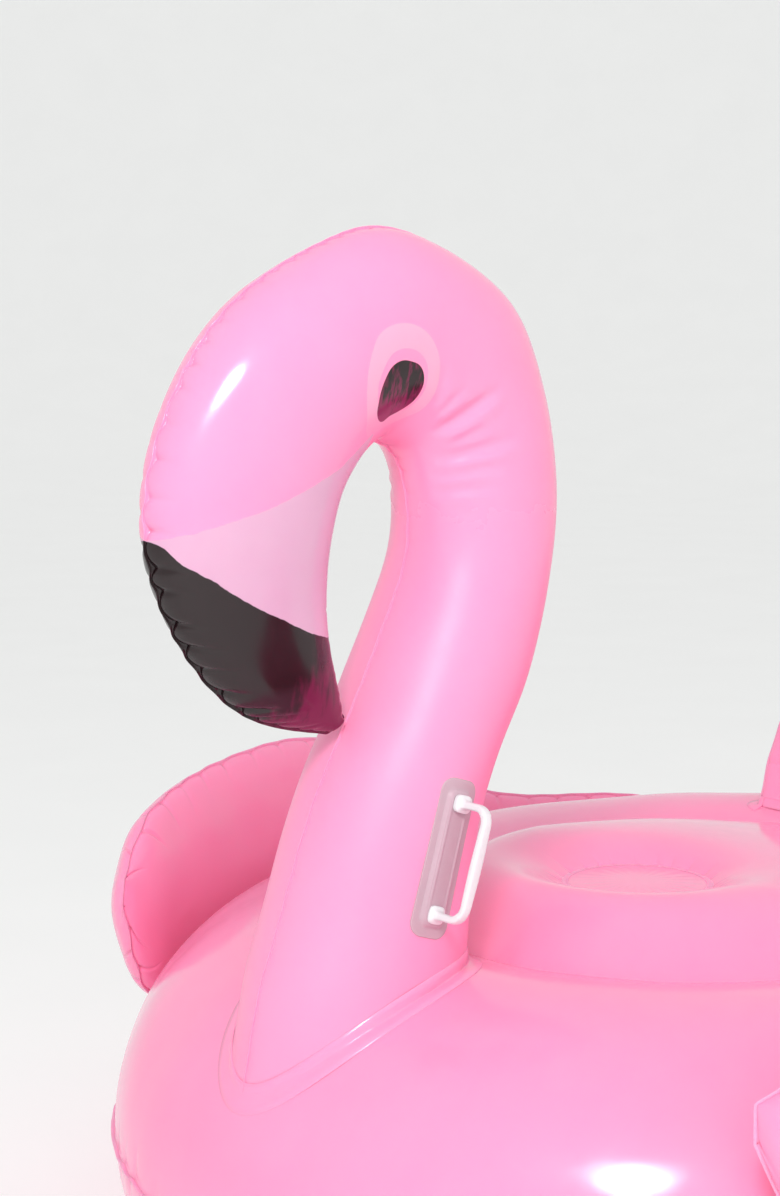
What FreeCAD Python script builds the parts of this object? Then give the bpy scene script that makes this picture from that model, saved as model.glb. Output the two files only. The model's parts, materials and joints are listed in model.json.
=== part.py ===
import FreeCAD, Part
import math
import os
import Sketcher

from FreeCAD import Placement, Rotation, Vector

# An inflatable ride-on pool float in the form of a flamingo, in millimetres.
# +Z is up, the bird faces -X, its left side is -Y and the origin is under the middle of the float.
#
# It has six air chambers: the oval ring, the seat inside it, the neck with the head, two wings and the tail.
# Each chamber is a pair of film panels welded edge to edge. Two moulded handles are welded to the neck, and
# every chamber has its own push-in valve with a plug, a tether strap and a check flap.

SHEET = {
    # oval ring: the middle line of its tube and the tube itself
    "RingCentreX": 20,
    "RingHalfLength": 484,
    "RingHalfWidth": 405,
    "RingCentreHeight": 236,
    "RingTubeRadius": 236,
    "RingBelly": 239,
    "FootTrim": 0.2,
    # panels
    "Wall": 2.5,
    "Gap": 0.3,
    # seat cushion: a round dimple, the bolster round it and the crease against the ring
    "DimpleCentreX": -137,
    "DimpleRadius": 82,
    "DimpleHeight": 492,
    "BolsterRadius": 152,
    "BolsterHeight": 519,
    "SeatCreaseDrop": 30,
    "SeatGap": 1,
    "SeatSag": 46,
    "BellyGap": 2.3,
    # collar round the foot of the neck
    "CollarReach": 22,
    "CollarThickness": 1.6,
    # handles
    "HandleBaseLength": 153,
    "HandleBaseWidth": 46,
    "HandleBaseCorner": 14,
    "HandleBaseThickness": 3,
    "HandleSpan": 114,
    "HandleStand": 42,
    "HandleBarWidth": 10,
    "HandleBarDepth": 7,
    "HandleCorner": 15,
    "HandleFootSize": 20,
    "HandleFootHeight": 3,
    # valves
    "FlangeRadius": 17,
    "FlangeThickness": 1.3,
    "SkirtRadius": 10,
    "SkirtDepth": 6,
    "StemRadius": 8,
    "StemBore": 4,
    "StemLipRadius": 10.5,
    "StemTop": 10,
    "StemLipThickness": 2,
    "StemDepth": 14,
    "RunningFit": 0.05,
    "PlugHeadRadius": 8.5,
    "PlugHeadThickness": 2,
    "PlugShaftLength": 8,
    "FlapRadius": 6,
    "FlapThickness": 0.8,
    "StrapWidth": 5,
    "StrapThickness": 1,
}

# Stations of the neck and head, from the foot to the tip of the beak. Each gives the seam point on the
# throat or beak side, the seam point on the nape or crown side, and half the width across the bird.
NECK_STATIONS = [
    ((-668, 320), (-411, 330), 102),
    ((-644, 450), (-411, 404), 98),
    ((-623, 512), (-411, 481), 96),
    ((-597, 585), (-403, 568), 94),
    ((-565, 660), (-384, 647), 92),
    ((-525, 733), (-345, 724), 91),
    ((-488, 806), (-313, 803), 89),
    ((-461, 875), (-295, 884), 83),
    ((-465, 940), (-290, 960), 76),
    ((-482, 972), (-303, 1036), 72),
    ((-500, 981), (-355, 1125), 72),
    ((-511, 981), (-470, 1179), 74),
    ((-528, 971), (-554, 1169), 76),
    ((-540, 959), (-632, 1132), 76),
    ((-551, 941), (-693, 1081), 73),
    ((-558, 918), (-738, 1009), 66),
    ((-564, 874), (-761, 925), 56),
    ((-565, 823), (-748, 849), 44),
    ((-558, 780), (-710, 783), 35),
    ((-548, 745), (-649, 730), 25),
    ((-542, 719), (-562, 706), 9),
]

# Stations of a wing along the ring, from front to rear: the bearing round the ring in degrees from the
# bird's front, the height of the lower and upper weld, and half the thickness.
WING_STATIONS = [
    (45, 424, 456, 8),
    (47, 372, 473, 24),
    (50, 314, 503, 38),
    (54, 280, 522, 46),
    (61, 256, 538, 53),
    (70, 247, 549, 57),
    (80, 243, 550, 57),
    (90, 241, 518, 54),
    (100, 240, 464, 48),
    (110, 240, 430, 42),
    (120, 244, 424, 37),
    (129, 258, 408, 27),
    (135, 294, 368, 8),
]
WING_OFFSET = 256
WING_INNER_SHARE = 0.62

# Stations of the tail, from its foot on the ring to its tip: place along the bird, height, half the width
# and half the thickness. Its edges bow forward round the ring.
TAIL_STATIONS = [
    (385, 400, 245, 18),
    (428, 450, 262, 34),
    (472, 508, 275, 54),
    (525, 570, 270, 66),
    (578, 630, 242, 63),
    (632, 689, 194, 52),
    (681, 736, 138, 36),
    (723, 772, 76, 20),
    (755, 797, 22, 8),
]
TAIL_BOW = 75

HANDLE_CENTRE = (-491, 590)
HANDLE_LEAN = (0.31, 0.95)

SECTION_POINTS = 9
SEAT_SPOKES = 20


doc = FreeCAD.newDocument("pool_float")
sheet = doc.addObject("Spreadsheet::Sheet", "Sizes")
sheet.Label = "sizes"
for row, (alias, value) in enumerate(SHEET.items(), start=1):
    sheet.set(f"A{row}", alias)
    sheet.set(f"B{row}", str(value))
    sheet.setAlias(f"B{row}", alias)
doc.recompute()

sub_parts = []


def size(alias):
    """A driving dimension, read back from the sheet."""
    return float(sheet.get(alias))


def bind(obj, **expressions):
    """Bind properties of a document object to sums of sheet words."""
    for prop, expression in expressions.items():
        obj.setExpression(prop.replace("__", "."), in_sheet(expression))
    return obj


def in_sheet(text):
    """The same expression with every sheet word written as Sizes.Word."""
    return " ".join(f"Sizes.{word}" if word in SHEET else word for word in text.split())


def keep(obj, label):
    """Name a finished sub-part. The label becomes its file name."""
    obj.Label = label
    sub_parts.append(obj)
    return obj


def feature(label, shape, placement=None):
    """A sub-part whose free-form shape has no parametric feature of its own."""
    obj = doc.addObject("Part::Feature", label)
    obj.Shape = shape
    if placement is not None:
        obj.Placement = placement
    return keep(obj, label)


# ---------------------------------------------------------------- shell geometry

def half_oval(centre, long_axis, short_axis, bow=Vector()):
    """A smooth curve over half an oval, from +long_axis through short_axis to -long_axis.

    bow is how far the two ends of the long axis are bent away from the centre.
    """
    points = []
    parameters = []
    for index in range(SECTION_POINTS):
        part = index / (SECTION_POINTS - 1)
        angle = math.pi * part
        bent = centre + bow * math.cos(angle) ** 2
        points.append(bent + long_axis * math.cos(angle) + short_axis * math.sin(angle))
        parameters.append(part)
    curve = Part.BSplineCurve()
    curve.interpolate(Points=points, Parameters=parameters)
    return curve.toShape()


def shortened(axis, amount):
    """The axis made shorter by an amount, never below a fifth of its length."""
    return axis * max((axis.Length - amount) / axis.Length, 0.2)


def panel_section(station, side, wall):
    """The closed outline of half an oval wall. side is +1 or -1, the end of the short axis it covers."""
    centre, long_axis, short_axis, bow = station
    across = short_axis * side
    inner_axis = shortened(long_axis, wall)
    inner_bow = bow * (inner_axis.Length / long_axis.Length) ** 2
    outer = half_oval(centre, long_axis, across, bow)
    inner = half_oval(centre, inner_axis, shortened(across, wall), inner_bow)
    first = Part.makeLine(outer.Vertexes[0].Point, inner.Vertexes[0].Point)
    last = Part.makeLine(outer.Vertexes[-1].Point, inner.Vertexes[-1].Point)
    return Part.Wire([outer, last, inner, first])


def full_section(station, swell):
    """The closed outline of a whole oval, grown by swell."""
    centre, long_axis, short_axis, bow = station
    longer = long_axis * ((long_axis.Length + swell) / long_axis.Length)
    wider = short_axis * ((short_axis.Length + swell) / short_axis.Length)
    return Part.Wire([half_oval(centre, longer, wider, bow), half_oval(centre, -longer, -wider, bow)])


def panel(stations, side):
    """A half shell through the stations, on one side of them."""
    return Part.makeLoft([panel_section(station, side, size("Wall")) for station in stations], True, False)


def body_solid(stations, swell):
    """The whole inflated form through the stations, grown by swell."""
    return Part.makeLoft([full_section(station, swell) for station in stations], True, False)


# ---------------------------------------------------------------- ring

def ring_point(bearing, outward, height):
    """A point beside the middle line of the ring's tube. bearing is in degrees from the bird's front."""
    turn = math.radians(bearing)
    middle = Vector(size("RingCentreX") - size("RingHalfLength") * math.cos(turn),
                    size("RingHalfWidth") * math.sin(turn), height)
    return middle + ring_normal(bearing) * outward


def ring_normal(bearing):
    """The level direction that points out of the ring at a bearing."""
    turn = math.radians(bearing)
    normal = Vector(-math.cos(turn) / size("RingHalfLength"), math.sin(turn) / size("RingHalfWidth"), 0)
    return normal.normalize()


def ring_spine():
    """The middle line of the ring's tube."""
    centre = Vector(size("RingCentreX"), 0, size("RingCentreHeight"))
    rear = Vector(1, 0, 0) * size("RingHalfLength")
    side = Vector(0, 1, 0) * size("RingHalfWidth")
    ellipse = Part.Ellipse(centre + rear, centre + side, centre)
    return Part.Wire([ellipse.toShape()])


def ring_start():
    """The point of the middle line where its sections are drawn, at the rear."""
    return Vector(size("RingCentreX") + size("RingHalfLength"), 0, size("RingCentreHeight"))


def ring_solid(radius):
    """The ring's tube as a solid of the given radius."""
    circle = Part.Circle(ring_start(), Vector(0, 1, 0), radius)
    return ring_spine().makePipeShell([Part.Wire([circle.toShape()])], True, True)


def ring_panel_wire(rise, flat_height):
    """Half the ring's wall at the rear: an upper arch, or a lower one cut flat where it rests."""
    wall = size("Wall")
    radius = size("RingTubeRadius")
    start = ring_start()
    edges = []
    ends = []
    for inset in (0, wall):
        across = radius - inset
        down = rise - math.copysign(inset, rise)
        stop = math.pi / 2
        if flat_height is not None:
            reach = start.z - flat_height - inset
            stop = math.asin(reach / abs(down))
        rear = []
        for index in range(SECTION_POINTS):
            angle = stop * index / (SECTION_POINTS - 1)
            rear.append((across * math.cos(angle), down * math.sin(angle)))
        half_flat = rear[-1][0]
        front = [(-x, z) for x, z in reversed(rear)]
        curves = []
        for points in (rear, front):
            curve = Part.BSplineCurve()
            curve.interpolate([start + Vector(x, 0, z) for x, z in points])
            curves.append(curve.toShape())
        if flat_height is not None:
            low = start + Vector(half_flat, 0, rear[-1][1])
            curves.insert(1, Part.makeLine(low, low - Vector(2 * half_flat, 0, 0)))
        edges.extend(curves)
        ends.append((start + Vector(across, 0, 0), start - Vector(across, 0, 0)))
    edges.append(Part.makeLine(ends[0][0], ends[1][0]))
    edges.append(Part.makeLine(ends[0][1], ends[1][1]))
    return Part.Wire(Part.__sortEdges__(edges))


def ring_panel(rise, flat_height=None):
    """One film panel of the ring, swept round the middle line."""
    return ring_spine().makePipeShell([ring_panel_wire(rise, flat_height)], True, True)


# ---------------------------------------------------------------- seat

def seat_spoke(bearing, inset):
    """The edges of one spoke of the seat's top panel, from the dimple outward.

    The first edge runs over the bolster to the crease, the second down the ring's inner side.
    """
    turn = math.radians(bearing)
    ray = Vector(-math.cos(turn), math.sin(turn), 0)
    rearward = max(ray.x, 0.0)
    centre = Vector(size("DimpleCentreX"), 0, 0)
    middle = size("RingCentreHeight")
    crease_height = middle + size("RingTubeRadius") - size("SeatCreaseDrop")
    crest_height = size("BolsterHeight") - 6 * rearward
    tube = size("RingTubeRadius") + size("SeatGap") + inset
    sides = []
    for height in (crease_height - inset, (crease_height + middle) / 2, middle + 4):
        reach = math.sqrt(tube ** 2 - (height - middle) ** 2)
        sides.append(ring_point(bearing, -reach, height))
    dimple = centre + ray * size("DimpleRadius") + Vector(0, 0, size("DimpleHeight") - inset)
    crest = centre + ray * size("BolsterRadius") + Vector(0, 0, crest_height - inset)
    shoulder = crest * 0.35 + sides[0] * 0.65
    shoulder.z = crease_height + (crest_height - crease_height) * (0.55 - 0.1 * rearward) - inset
    over = Part.BSplineCurve()
    over.interpolate([dimple, crest, shoulder, sides[0]])
    return [over.toShape(), Part.Arc(*sides).toShape()]


def seat_top():
    """The seat's top panel: a wall lofted round the dimple through radial sections."""
    sections = []
    for index in range(SEAT_SPOKES):
        bearing = 360.0 * index / SEAT_SPOKES
        outer = seat_spoke(bearing, 0)
        inner = seat_spoke(bearing, size("Wall"))
        first = Part.makeLine(outer[0].Vertexes[0].Point, inner[0].Vertexes[0].Point)
        last = Part.makeLine(outer[-1].Vertexes[-1].Point, inner[-1].Vertexes[-1].Point)
        sections.append(Part.Wire(outer + [last] + inner[::-1] + [first]))
    return Part.makeLoft(sections, True, False, True)


# ---------------------------------------------------------------- stations of the free-form chambers

def neck_stations():
    """Centre, long axis and short axis of every neck and head station."""
    result = []
    for throat, nape, half_width in NECK_STATIONS:
        low = Vector(throat[0], 0, throat[1])
        high = Vector(nape[0], 0, nape[1])
        result.append(((low + high) * 0.5, (high - low) * 0.5, Vector(0, half_width, 0), Vector()))
    return result


def wing_stations(side, share=1.0):
    """Stations of a wing. side is -1 for the bird's left and +1 for its right.

    share scales the thickness: the side that lies along the ring is flatter than the outer one.
    """
    result = []
    for bearing, low, high, half_thickness in WING_STATIONS:
        angle = bearing * side
        centre = ring_point(angle, WING_OFFSET, (low + high) / 2)
        upright = Vector(0, 0, (high - low) / 2)
        result.append((centre, upright, ring_normal(angle) * (half_thickness * share), Vector()))
    return result


def tail_stations():
    """Stations of the tail, square to the line it leans along."""
    result = []
    first = TAIL_STATIONS[0]
    last = TAIL_STATIONS[-1]
    lean = Vector(last[0] - first[0], 0, last[1] - first[1]).normalize()
    forward = Vector(-lean.z, 0, lean.x)
    for x, z, half_width, half_thickness in TAIL_STATIONS:
        bow = forward * (TAIL_BOW * half_width / first[2])
        result.append((Vector(x, 0, z), Vector(0, half_width, 0), forward * half_thickness, bow))
    return result


# ---------------------------------------------------------------- valves

# Where each chamber's valve sits: a point on the outside of the panel and the way out of it.
def valve_seats():
    """Place and outward direction of each valve, by chamber."""
    tube = size("RingTubeRadius")
    slope = math.radians(38)
    ring_bearing = 161
    outward = ring_normal(ring_bearing) * math.cos(slope) + Vector(0, 0, math.sin(slope))
    ring_place = ring_point(ring_bearing, 0, size("RingCentreHeight")) + outward * tube
    seat_place = Vector(size("RingCentreX"), 0, size("RingCentreHeight") - size("SeatSag"))
    return {
        "ring": (ring_place, outward),
        "seat": (seat_place, Vector(0, 0, -1)),
        "neck": middle_of_panel(neck_stations(), 6, 1),
        "tail": middle_of_panel(tail_stations(), 5, -1),
        "left_wing": middle_of_panel(wing_stations(-1), 8, 1),
        "right_wing": middle_of_panel(wing_stations(1), 8, 1),
    }


def middle_of_panel(stations, index, side):
    """The middle of a panel at one of its stations, and the direction square to the film there."""
    before, place, after = [station[0] + station[2] * side for station in stations[index - 1:index + 2]]
    outward = (after - before).cross(stations[index][1])
    if outward.dot(stations[index][2] * side) < 0:
        outward = outward * -1
    return place, outward.normalize()


def valve_placement(place, outward):
    """The placement that puts a valve's own +Z along the way out of its panel."""
    return Placement(place, Rotation(Vector(0, 0, 1), outward))


def turned(name, label, outline, placement):
    """A turned piece: a sketch of its half section in the XZ plane, revolved about Z.

    outline is a list of (radius, height) corners, each an expression of sheet words.
    """
    body = doc.addObject("PartDesign::Body", name)
    sketch = body.newObject("Sketcher::SketchObject", name + "_section")
    plane = [item for item in body.Origin.OriginFeatures if item.Role == "XZ_Plane"][0]
    sketch.AttachmentSupport = [(plane, "")]
    sketch.MapMode = "FlatFace"
    corners = [Vector(evaluate(radius), evaluate(height), 0) for radius, height in outline]
    count = len(corners)
    for index in range(count):
        sketch.addGeometry(Part.LineSegment(corners[index], corners[(index + 1) % count]), False)
    for index in range(count):
        following = (index + 1) % count
        sketch.addConstraint(Sketcher.Constraint("Coincident", index, 2, following, 1))
    for index, (radius, height) in enumerate(outline):
        if radius == "0":
            sketch.addConstraint(Sketcher.Constraint("PointOnObject", index, 1, -2))
        else:
            pin_down(sketch, "DistanceX", index, corners[index].x, radius)
        pin_down(sketch, "DistanceY", index, corners[index].y, height)
    revolution = body.newObject("PartDesign::Revolution", name + "_turned")
    revolution.Profile = sketch
    revolution.ReferenceAxis = (sketch, ["V_Axis"])
    revolution.Angle = 360
    body.Placement = placement
    return keep(body, label)


def pin_down(sketch, kind, index, value, text):
    """Set one coordinate of a corner from the sheet."""
    number = sketch.addConstraint(Sketcher.Constraint(kind, -1, 1, index, 1, value))
    sketch.setExpression(f"Constraints[{number}]", in_sheet(text))


def evaluate(text):
    """The value of a sum and difference of sheet words and numbers."""
    total = 0.0
    sign = 1.0
    for word in text.split():
        if word == "+":
            sign = 1.0
        elif word == "-":
            sign = -1.0
        else:
            total += sign * (size(word) if word in SHEET else float(word))
    return total


def strap_shape():
    """The hairpin strap that ties a plug to its stem's lip."""
    thickness = size("StrapThickness")
    low = size("StemTop") - size("StemLipThickness") + 0.5
    high = size("StemTop") + size("Gap") + 1
    turn = size("StemLipRadius") + 3.5
    middle = (low + high + thickness) / 2
    stem_end = size("StemLipRadius") - size("Gap")
    plug_end = size("PlugHeadRadius") + size("Gap")
    half_depth = size("StrapWidth") / 2
    reach = (high - low + thickness) / 2

    def at(x, z):
        return Vector(x, -half_depth, z)

    outer = Part.Arc(at(turn, low), at(turn + reach, middle), at(turn, high + thickness)).toShape()
    inner = Part.Arc(at(turn, high), at(turn + reach - thickness, middle), at(turn, low + thickness)).toShape()
    outline = Part.Wire([
        Part.makeLine(at(stem_end, low), at(turn, low)),
        outer,
        Part.makeLine(at(turn, high + thickness), at(plug_end, high + thickness)),
        Part.makeLine(at(plug_end, high + thickness), at(plug_end, high)),
        Part.makeLine(at(plug_end, high), at(turn, high)),
        inner,
        Part.makeLine(at(turn, low + thickness), at(stem_end, low + thickness)),
        Part.makeLine(at(stem_end, low + thickness), at(stem_end, low)),
    ])
    return Part.Face(outline).extrude(Vector(0, 2 * half_depth, 0))


def add_valve(chamber, place, outward):
    """The five pieces of one chamber's valve."""
    seat = valve_placement(place, outward)
    bore = "StemRadius + RunningFit"
    top = "Gap + FlangeThickness"
    turned(f"{chamber}_flange", f"valve_{chamber}_flange", [
        (bore, "0 - SkirtDepth"), ("SkirtRadius", "0 - SkirtDepth"), ("SkirtRadius", "Gap"),
        ("FlangeRadius", "Gap"), ("FlangeRadius", top), (bore, top)], seat)
    under_lip = "StemTop - StemLipThickness"
    turned(f"{chamber}_stem", f"valve_{chamber}_stem", [
        ("StemBore", "0 - StemDepth"), ("StemRadius", "0 - StemDepth"), ("StemRadius", under_lip),
        ("StemLipRadius", under_lip), ("StemLipRadius", "StemTop"), ("StemBore", "StemTop")], seat)
    shaft = "StemBore - RunningFit"
    head = "StemTop + Gap + PlugHeadThickness"
    turned(f"{chamber}_plug", f"valve_{chamber}_plug", [
        ("0", "StemTop - PlugShaftLength"), (shaft, "StemTop - PlugShaftLength"), (shaft, "StemTop + Gap"),
        ("PlugHeadRadius", "StemTop + Gap"), ("PlugHeadRadius", head), ("0", head)], seat)
    flap_top = "0 - StemDepth - Gap"
    flap_low = "0 - StemDepth - Gap - FlapThickness"
    turned(f"{chamber}_flap", f"valve_{chamber}_check_flap", [
        ("0", flap_low), ("FlapRadius", flap_low), ("FlapRadius", flap_top), ("0", flap_top)], seat)
    feature(f"valve_{chamber}_strap", strap_shape(), seat)


def valve_hole(place, outward):
    """The round hole that a valve's skirt goes through, as a solid to cut with."""
    depth = 3 * size("SkirtDepth")
    return Part.makeCylinder(size("SkirtRadius") + size("Gap"), 2 * depth, place - outward * depth, outward)


# ---------------------------------------------------------------- handles

def handle_axes(side):
    """Centre, lengthwise, crosswise and outward directions of a handle on one side of the neck."""
    along = Vector(HANDLE_LEAN[0], 0, HANDLE_LEAN[1]).normalize()
    outward = Vector(0, side, 0)
    return Vector(HANDLE_CENTRE[0], 0, HANDLE_CENTRE[1]), along, outward.cross(along), outward


def rounded_prism(centre, along, across, outward, length, width, corner, start, depth):
    """A prism with a rounded rectangle as its outline."""
    block = Part.makeBox(length, width, depth, Vector(-length / 2, -width / 2, 0))
    upright = [edge for edge in block.Edges if abs(edge.tangentAt(edge.FirstParameter).z) > 0.9]
    block = block.makeFillet(corner, upright)
    block.Placement = Placement(centre + outward * start, Rotation(along, across, outward, "ZXY"))
    return block


def handle_base(side, neck):
    """The welded base sheet of a handle, curved to the neck."""
    centre, along, across, outward = handle_axes(side)
    outline = rounded_prism(centre, along, across, outward, size("HandleBaseLength"),
                            size("HandleBaseWidth"), size("HandleBaseCorner"), 40, 120)
    inside = body_solid(neck, size("Gap"))
    outside = body_solid(neck, size("Gap") + size("HandleBaseThickness"))
    return outline.common(outside.cut(inside))


def handle_grip(side, surface):
    """The U-shaped grip: a rounded bar bent through two quarter turns, on two small feet."""
    centre, along, across, outward = handle_axes(side)
    half = size("HandleSpan") / 2 - size("HandleBarDepth") / 2
    corner = size("HandleCorner")
    top = size("HandleStand") - size("HandleBarDepth") / 2
    foot = size("HandleFootHeight")

    def at(lengthwise, rise):
        return centre + along * lengthwise + outward * (surface + rise)

    bend = corner * (1 - math.sqrt(0.5))
    path = Part.Wire([
        Part.makeLine(at(-half, foot), at(-half, top - corner)),
        Part.Arc(at(-half, top - corner), at(-half + bend, top - bend), at(-half + corner, top)).toShape(),
        Part.makeLine(at(-half + corner, top), at(half - corner, top)),
        Part.Arc(at(half - corner, top), at(half - bend, top - bend), at(half, top - corner)).toShape(),
        Part.makeLine(at(half, top - corner), at(half, foot)),
    ])
    start = at(-half, foot)
    wide = across * (size("HandleBarWidth") / 2)
    deep = along * (size("HandleBarDepth") / 2)
    outline = Part.makePolygon([start + wide + deep, start - wide + deep, start - wide - deep,
                                start + wide - deep, start + wide + deep])
    bar = path.makePipeShell([outline], True, False)
    bar = bar.makeFillet(2.4, [edge for edge in bar.Edges if runs_lengthwise(edge, path)])
    pads = []
    for end in (-half, half):
        pads.append(rounded_prism(at(end, 0), along, across, outward, size("HandleFootSize"),
                                  size("HandleFootSize"), 6, 0, foot))
    return bar.multiFuse(pads).removeSplitter()


def runs_lengthwise(edge, path):
    """Whether an edge of the bar follows its path rather than closing an end."""
    return edge.Length > size("HandleBarWidth") + 1 or edge.Curve.TypeId != "Part::GeomLine"


# ---------------------------------------------------------------- the float

valves = valve_seats()
holes = {chamber: valve_hole(*seat) for chamber, seat in valves.items()}
neck = neck_stations()
tail = tail_stations()
tube_clear = ring_solid(size("RingTubeRadius") + size("Gap"))

feature("ring_top_panel", ring_panel(size("RingTubeRadius")).cut(holes["ring"]))
floor = Part.makeBox(2000, 2000, 10, Vector(-1000, -1000, -10))
feature("ring_bottom_panel", ring_panel(-size("RingBelly"), -size("FootTrim")).cut(floor))

feature("seat_top_panel", seat_top())

dimple = doc.addObject("Part::Cylinder", "dimple_disc")
bind(dimple, Radius="DimpleRadius - Gap", Height="Wall",
     Placement__Base__x="DimpleCentreX", Placement__Base__z="DimpleHeight - Wall")
keep(dimple, "seat_dimple_disc")


def bowl(name, inset):
    """A level oval solid with a rounded belly: the form of the seat's underside."""
    solid = doc.addObject("Part::Ellipsoid", name)
    bind(solid, Radius1=f"SeatSag - {inset}", Radius2=f"RingHalfLength - RingTubeRadius - BellyGap - {inset}",
         Radius3=f"RingHalfWidth - RingTubeRadius - BellyGap - {inset}", Angle1="0 - 90", Angle2="0",
         Placement__Base__x="RingCentreX", Placement__Base__z="RingCentreHeight")
    return solid


belly = doc.addObject("Part::Cut", "seat_belly")
belly.Base = bowl("belly_outside", "0")
belly.Tool = bowl("belly_inside", "Wall")
vent = doc.addObject("Part::Cylinder", "seat_vent")
bind(vent, Radius="SkirtRadius + Gap", Height="SeatSag", Placement__Base__x="RingCentreX",
     Placement__Base__z="RingCentreHeight - SeatSag - SkirtDepth")
seat_bottom = doc.addObject("Part::Cut", "seat_bottom")
seat_bottom.Base = belly
seat_bottom.Tool = vent
keep(seat_bottom, "seat_bottom_panel")

doc.recompute()
band_radius = size("DimpleRadius") - size("Gap") - 2
band_place = Vector(size("DimpleCentreX"), 0, size("RingCentreHeight") - size("SeatSag"))
band_height = size("DimpleHeight") - size("Wall") - size("Gap") - band_place.z
band = Part.makeCylinder(band_radius, band_height, band_place)
band = band.cut(Part.makeCylinder(band_radius - size("Wall"), band_height, band_place))
under_bowl = Part.makeBox(600, 600, size("SeatSag"), Vector(size("RingCentreX") - 300, -300, band_place.z))
under_bowl = under_bowl.cut(belly.Tool.Shape)
feature("seat_tie_band", band.cut(under_bowl))

neck_panels = {"left": panel(neck, -1), "right": panel(neck, 1)}
for side, shape in neck_panels.items():
    shape = shape.cut(tube_clear)
    if side == "right":
        shape = shape.cut(holes["neck"])
    feature(f"neck_head_{side}_panel", shape)

cuff = ring_solid(size("RingTubeRadius") + size("CollarReach")).cut(tube_clear)
sleeve = body_solid(neck, size("Gap") + size("CollarThickness")).cut(body_solid(neck, size("Gap")))
feature("neck_base_collar", cuff.common(sleeve))

for side, sign in (("left", -1), ("right", 1)):
    outer_side = panel(wing_stations(sign), 1).cut(holes[f"{side}_wing"])
    feature(f"wing_{side}_outer_panel", outer_side)
    feature(f"wing_{side}_inner_panel", panel(wing_stations(sign, WING_INNER_SHARE), -1))

feature("tail_front_panel", panel(tail, 1).cut(tube_clear))
feature("tail_rear_panel", panel(tail, -1).cut(tube_clear).cut(holes["tail"]))

for side, sign in (("left", -1), ("right", 1)):
    base = handle_base(sign, neck)
    box = base.optimalBoundingBox()
    feature(f"handle_{side}_base", base)
    feature(f"handle_{side}_grip", handle_grip(sign, max(-box.YMin, box.YMax) + size("Gap")))

for chamber, seat in valves.items():
    add_valve(chamber, *seat)

doc.recompute()

for obj in doc.Objects:
    if "Invalid" in obj.State or "Error" in obj.State:
        raise RuntimeError(f"{obj.Label} didn't recompute: {obj.State}")

os.makedirs("parts", exist_ok=True)
for sub_part in sub_parts:
    shape = sub_part.Shape
    if shape.isNull() or not shape.isValid():
        raise RuntimeError(f"{sub_part.Label} isn't a valid shape")
    shape.exportStep(f"parts/{sub_part.Label}.step")
    box = shape.optimalBoundingBox()
    print(f"{sub_part.Label}: {shape.Volume / 1000:.2f} cm3, "
          f"x {box.XMin:.1f}..{box.XMax:.1f}, y {box.YMin:.1f}..{box.YMax:.1f}, z {box.ZMin:.1f}..{box.ZMax:.1f}")
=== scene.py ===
import json
import math

import bmesh
import bpy
import numpy as np
from mathutils import Matrix, Vector


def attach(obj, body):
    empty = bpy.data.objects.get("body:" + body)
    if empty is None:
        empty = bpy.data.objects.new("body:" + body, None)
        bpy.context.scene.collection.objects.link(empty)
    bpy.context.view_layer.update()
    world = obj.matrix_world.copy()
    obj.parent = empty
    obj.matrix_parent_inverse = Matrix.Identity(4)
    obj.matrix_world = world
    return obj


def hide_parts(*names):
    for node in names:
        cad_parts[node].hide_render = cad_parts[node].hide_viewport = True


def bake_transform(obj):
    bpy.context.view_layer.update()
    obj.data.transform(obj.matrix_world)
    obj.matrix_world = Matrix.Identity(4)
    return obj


# An inflatable flamingo pool float. Shapes are worked out in millimetres in the CAD part's own frame:
# +Z up, the bird faces -X, its left side is -Y. Each air chamber is two film skins welded edge to edge.

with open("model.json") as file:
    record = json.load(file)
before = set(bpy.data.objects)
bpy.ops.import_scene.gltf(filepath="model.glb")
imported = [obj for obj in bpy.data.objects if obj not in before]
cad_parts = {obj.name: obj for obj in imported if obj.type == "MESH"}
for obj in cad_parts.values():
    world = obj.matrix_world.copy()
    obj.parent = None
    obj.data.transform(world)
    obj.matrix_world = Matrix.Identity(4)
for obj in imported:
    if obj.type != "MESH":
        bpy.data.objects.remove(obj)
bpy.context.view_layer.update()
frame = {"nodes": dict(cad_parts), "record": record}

MM = 0.001
CHAMBERS = ("ring", "seat", "neck", "left_wing", "right_wing", "tail")

# ring: middle and half lengths of its tube's middle line, and the tube's radii above and below that line
RING_X = 20
RING_LONG = 484
RING_WIDE = 405
TUBE = 236
BELLY = 239

# seat: the dimple and the bolster round it
DIMPLE_X = -137
DIMPLE_RADIUS = 82
DIMPLE_HEIGHT = 492
CREST_RADIUS = 152
CREST_HEIGHT = 519
CREASE_HEIGHT = 454

WELD_HALF = 0.35    # half the thickness of two welded films
SUNK = 8    # how deep inside the ring's tube a film's points are left out
VALVE_HOLE = 10.5    # radius of the hole that a film has under a valve's flange
VALVE_AREA = 30    # radius of the area round it whose mesh is made finer

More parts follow.
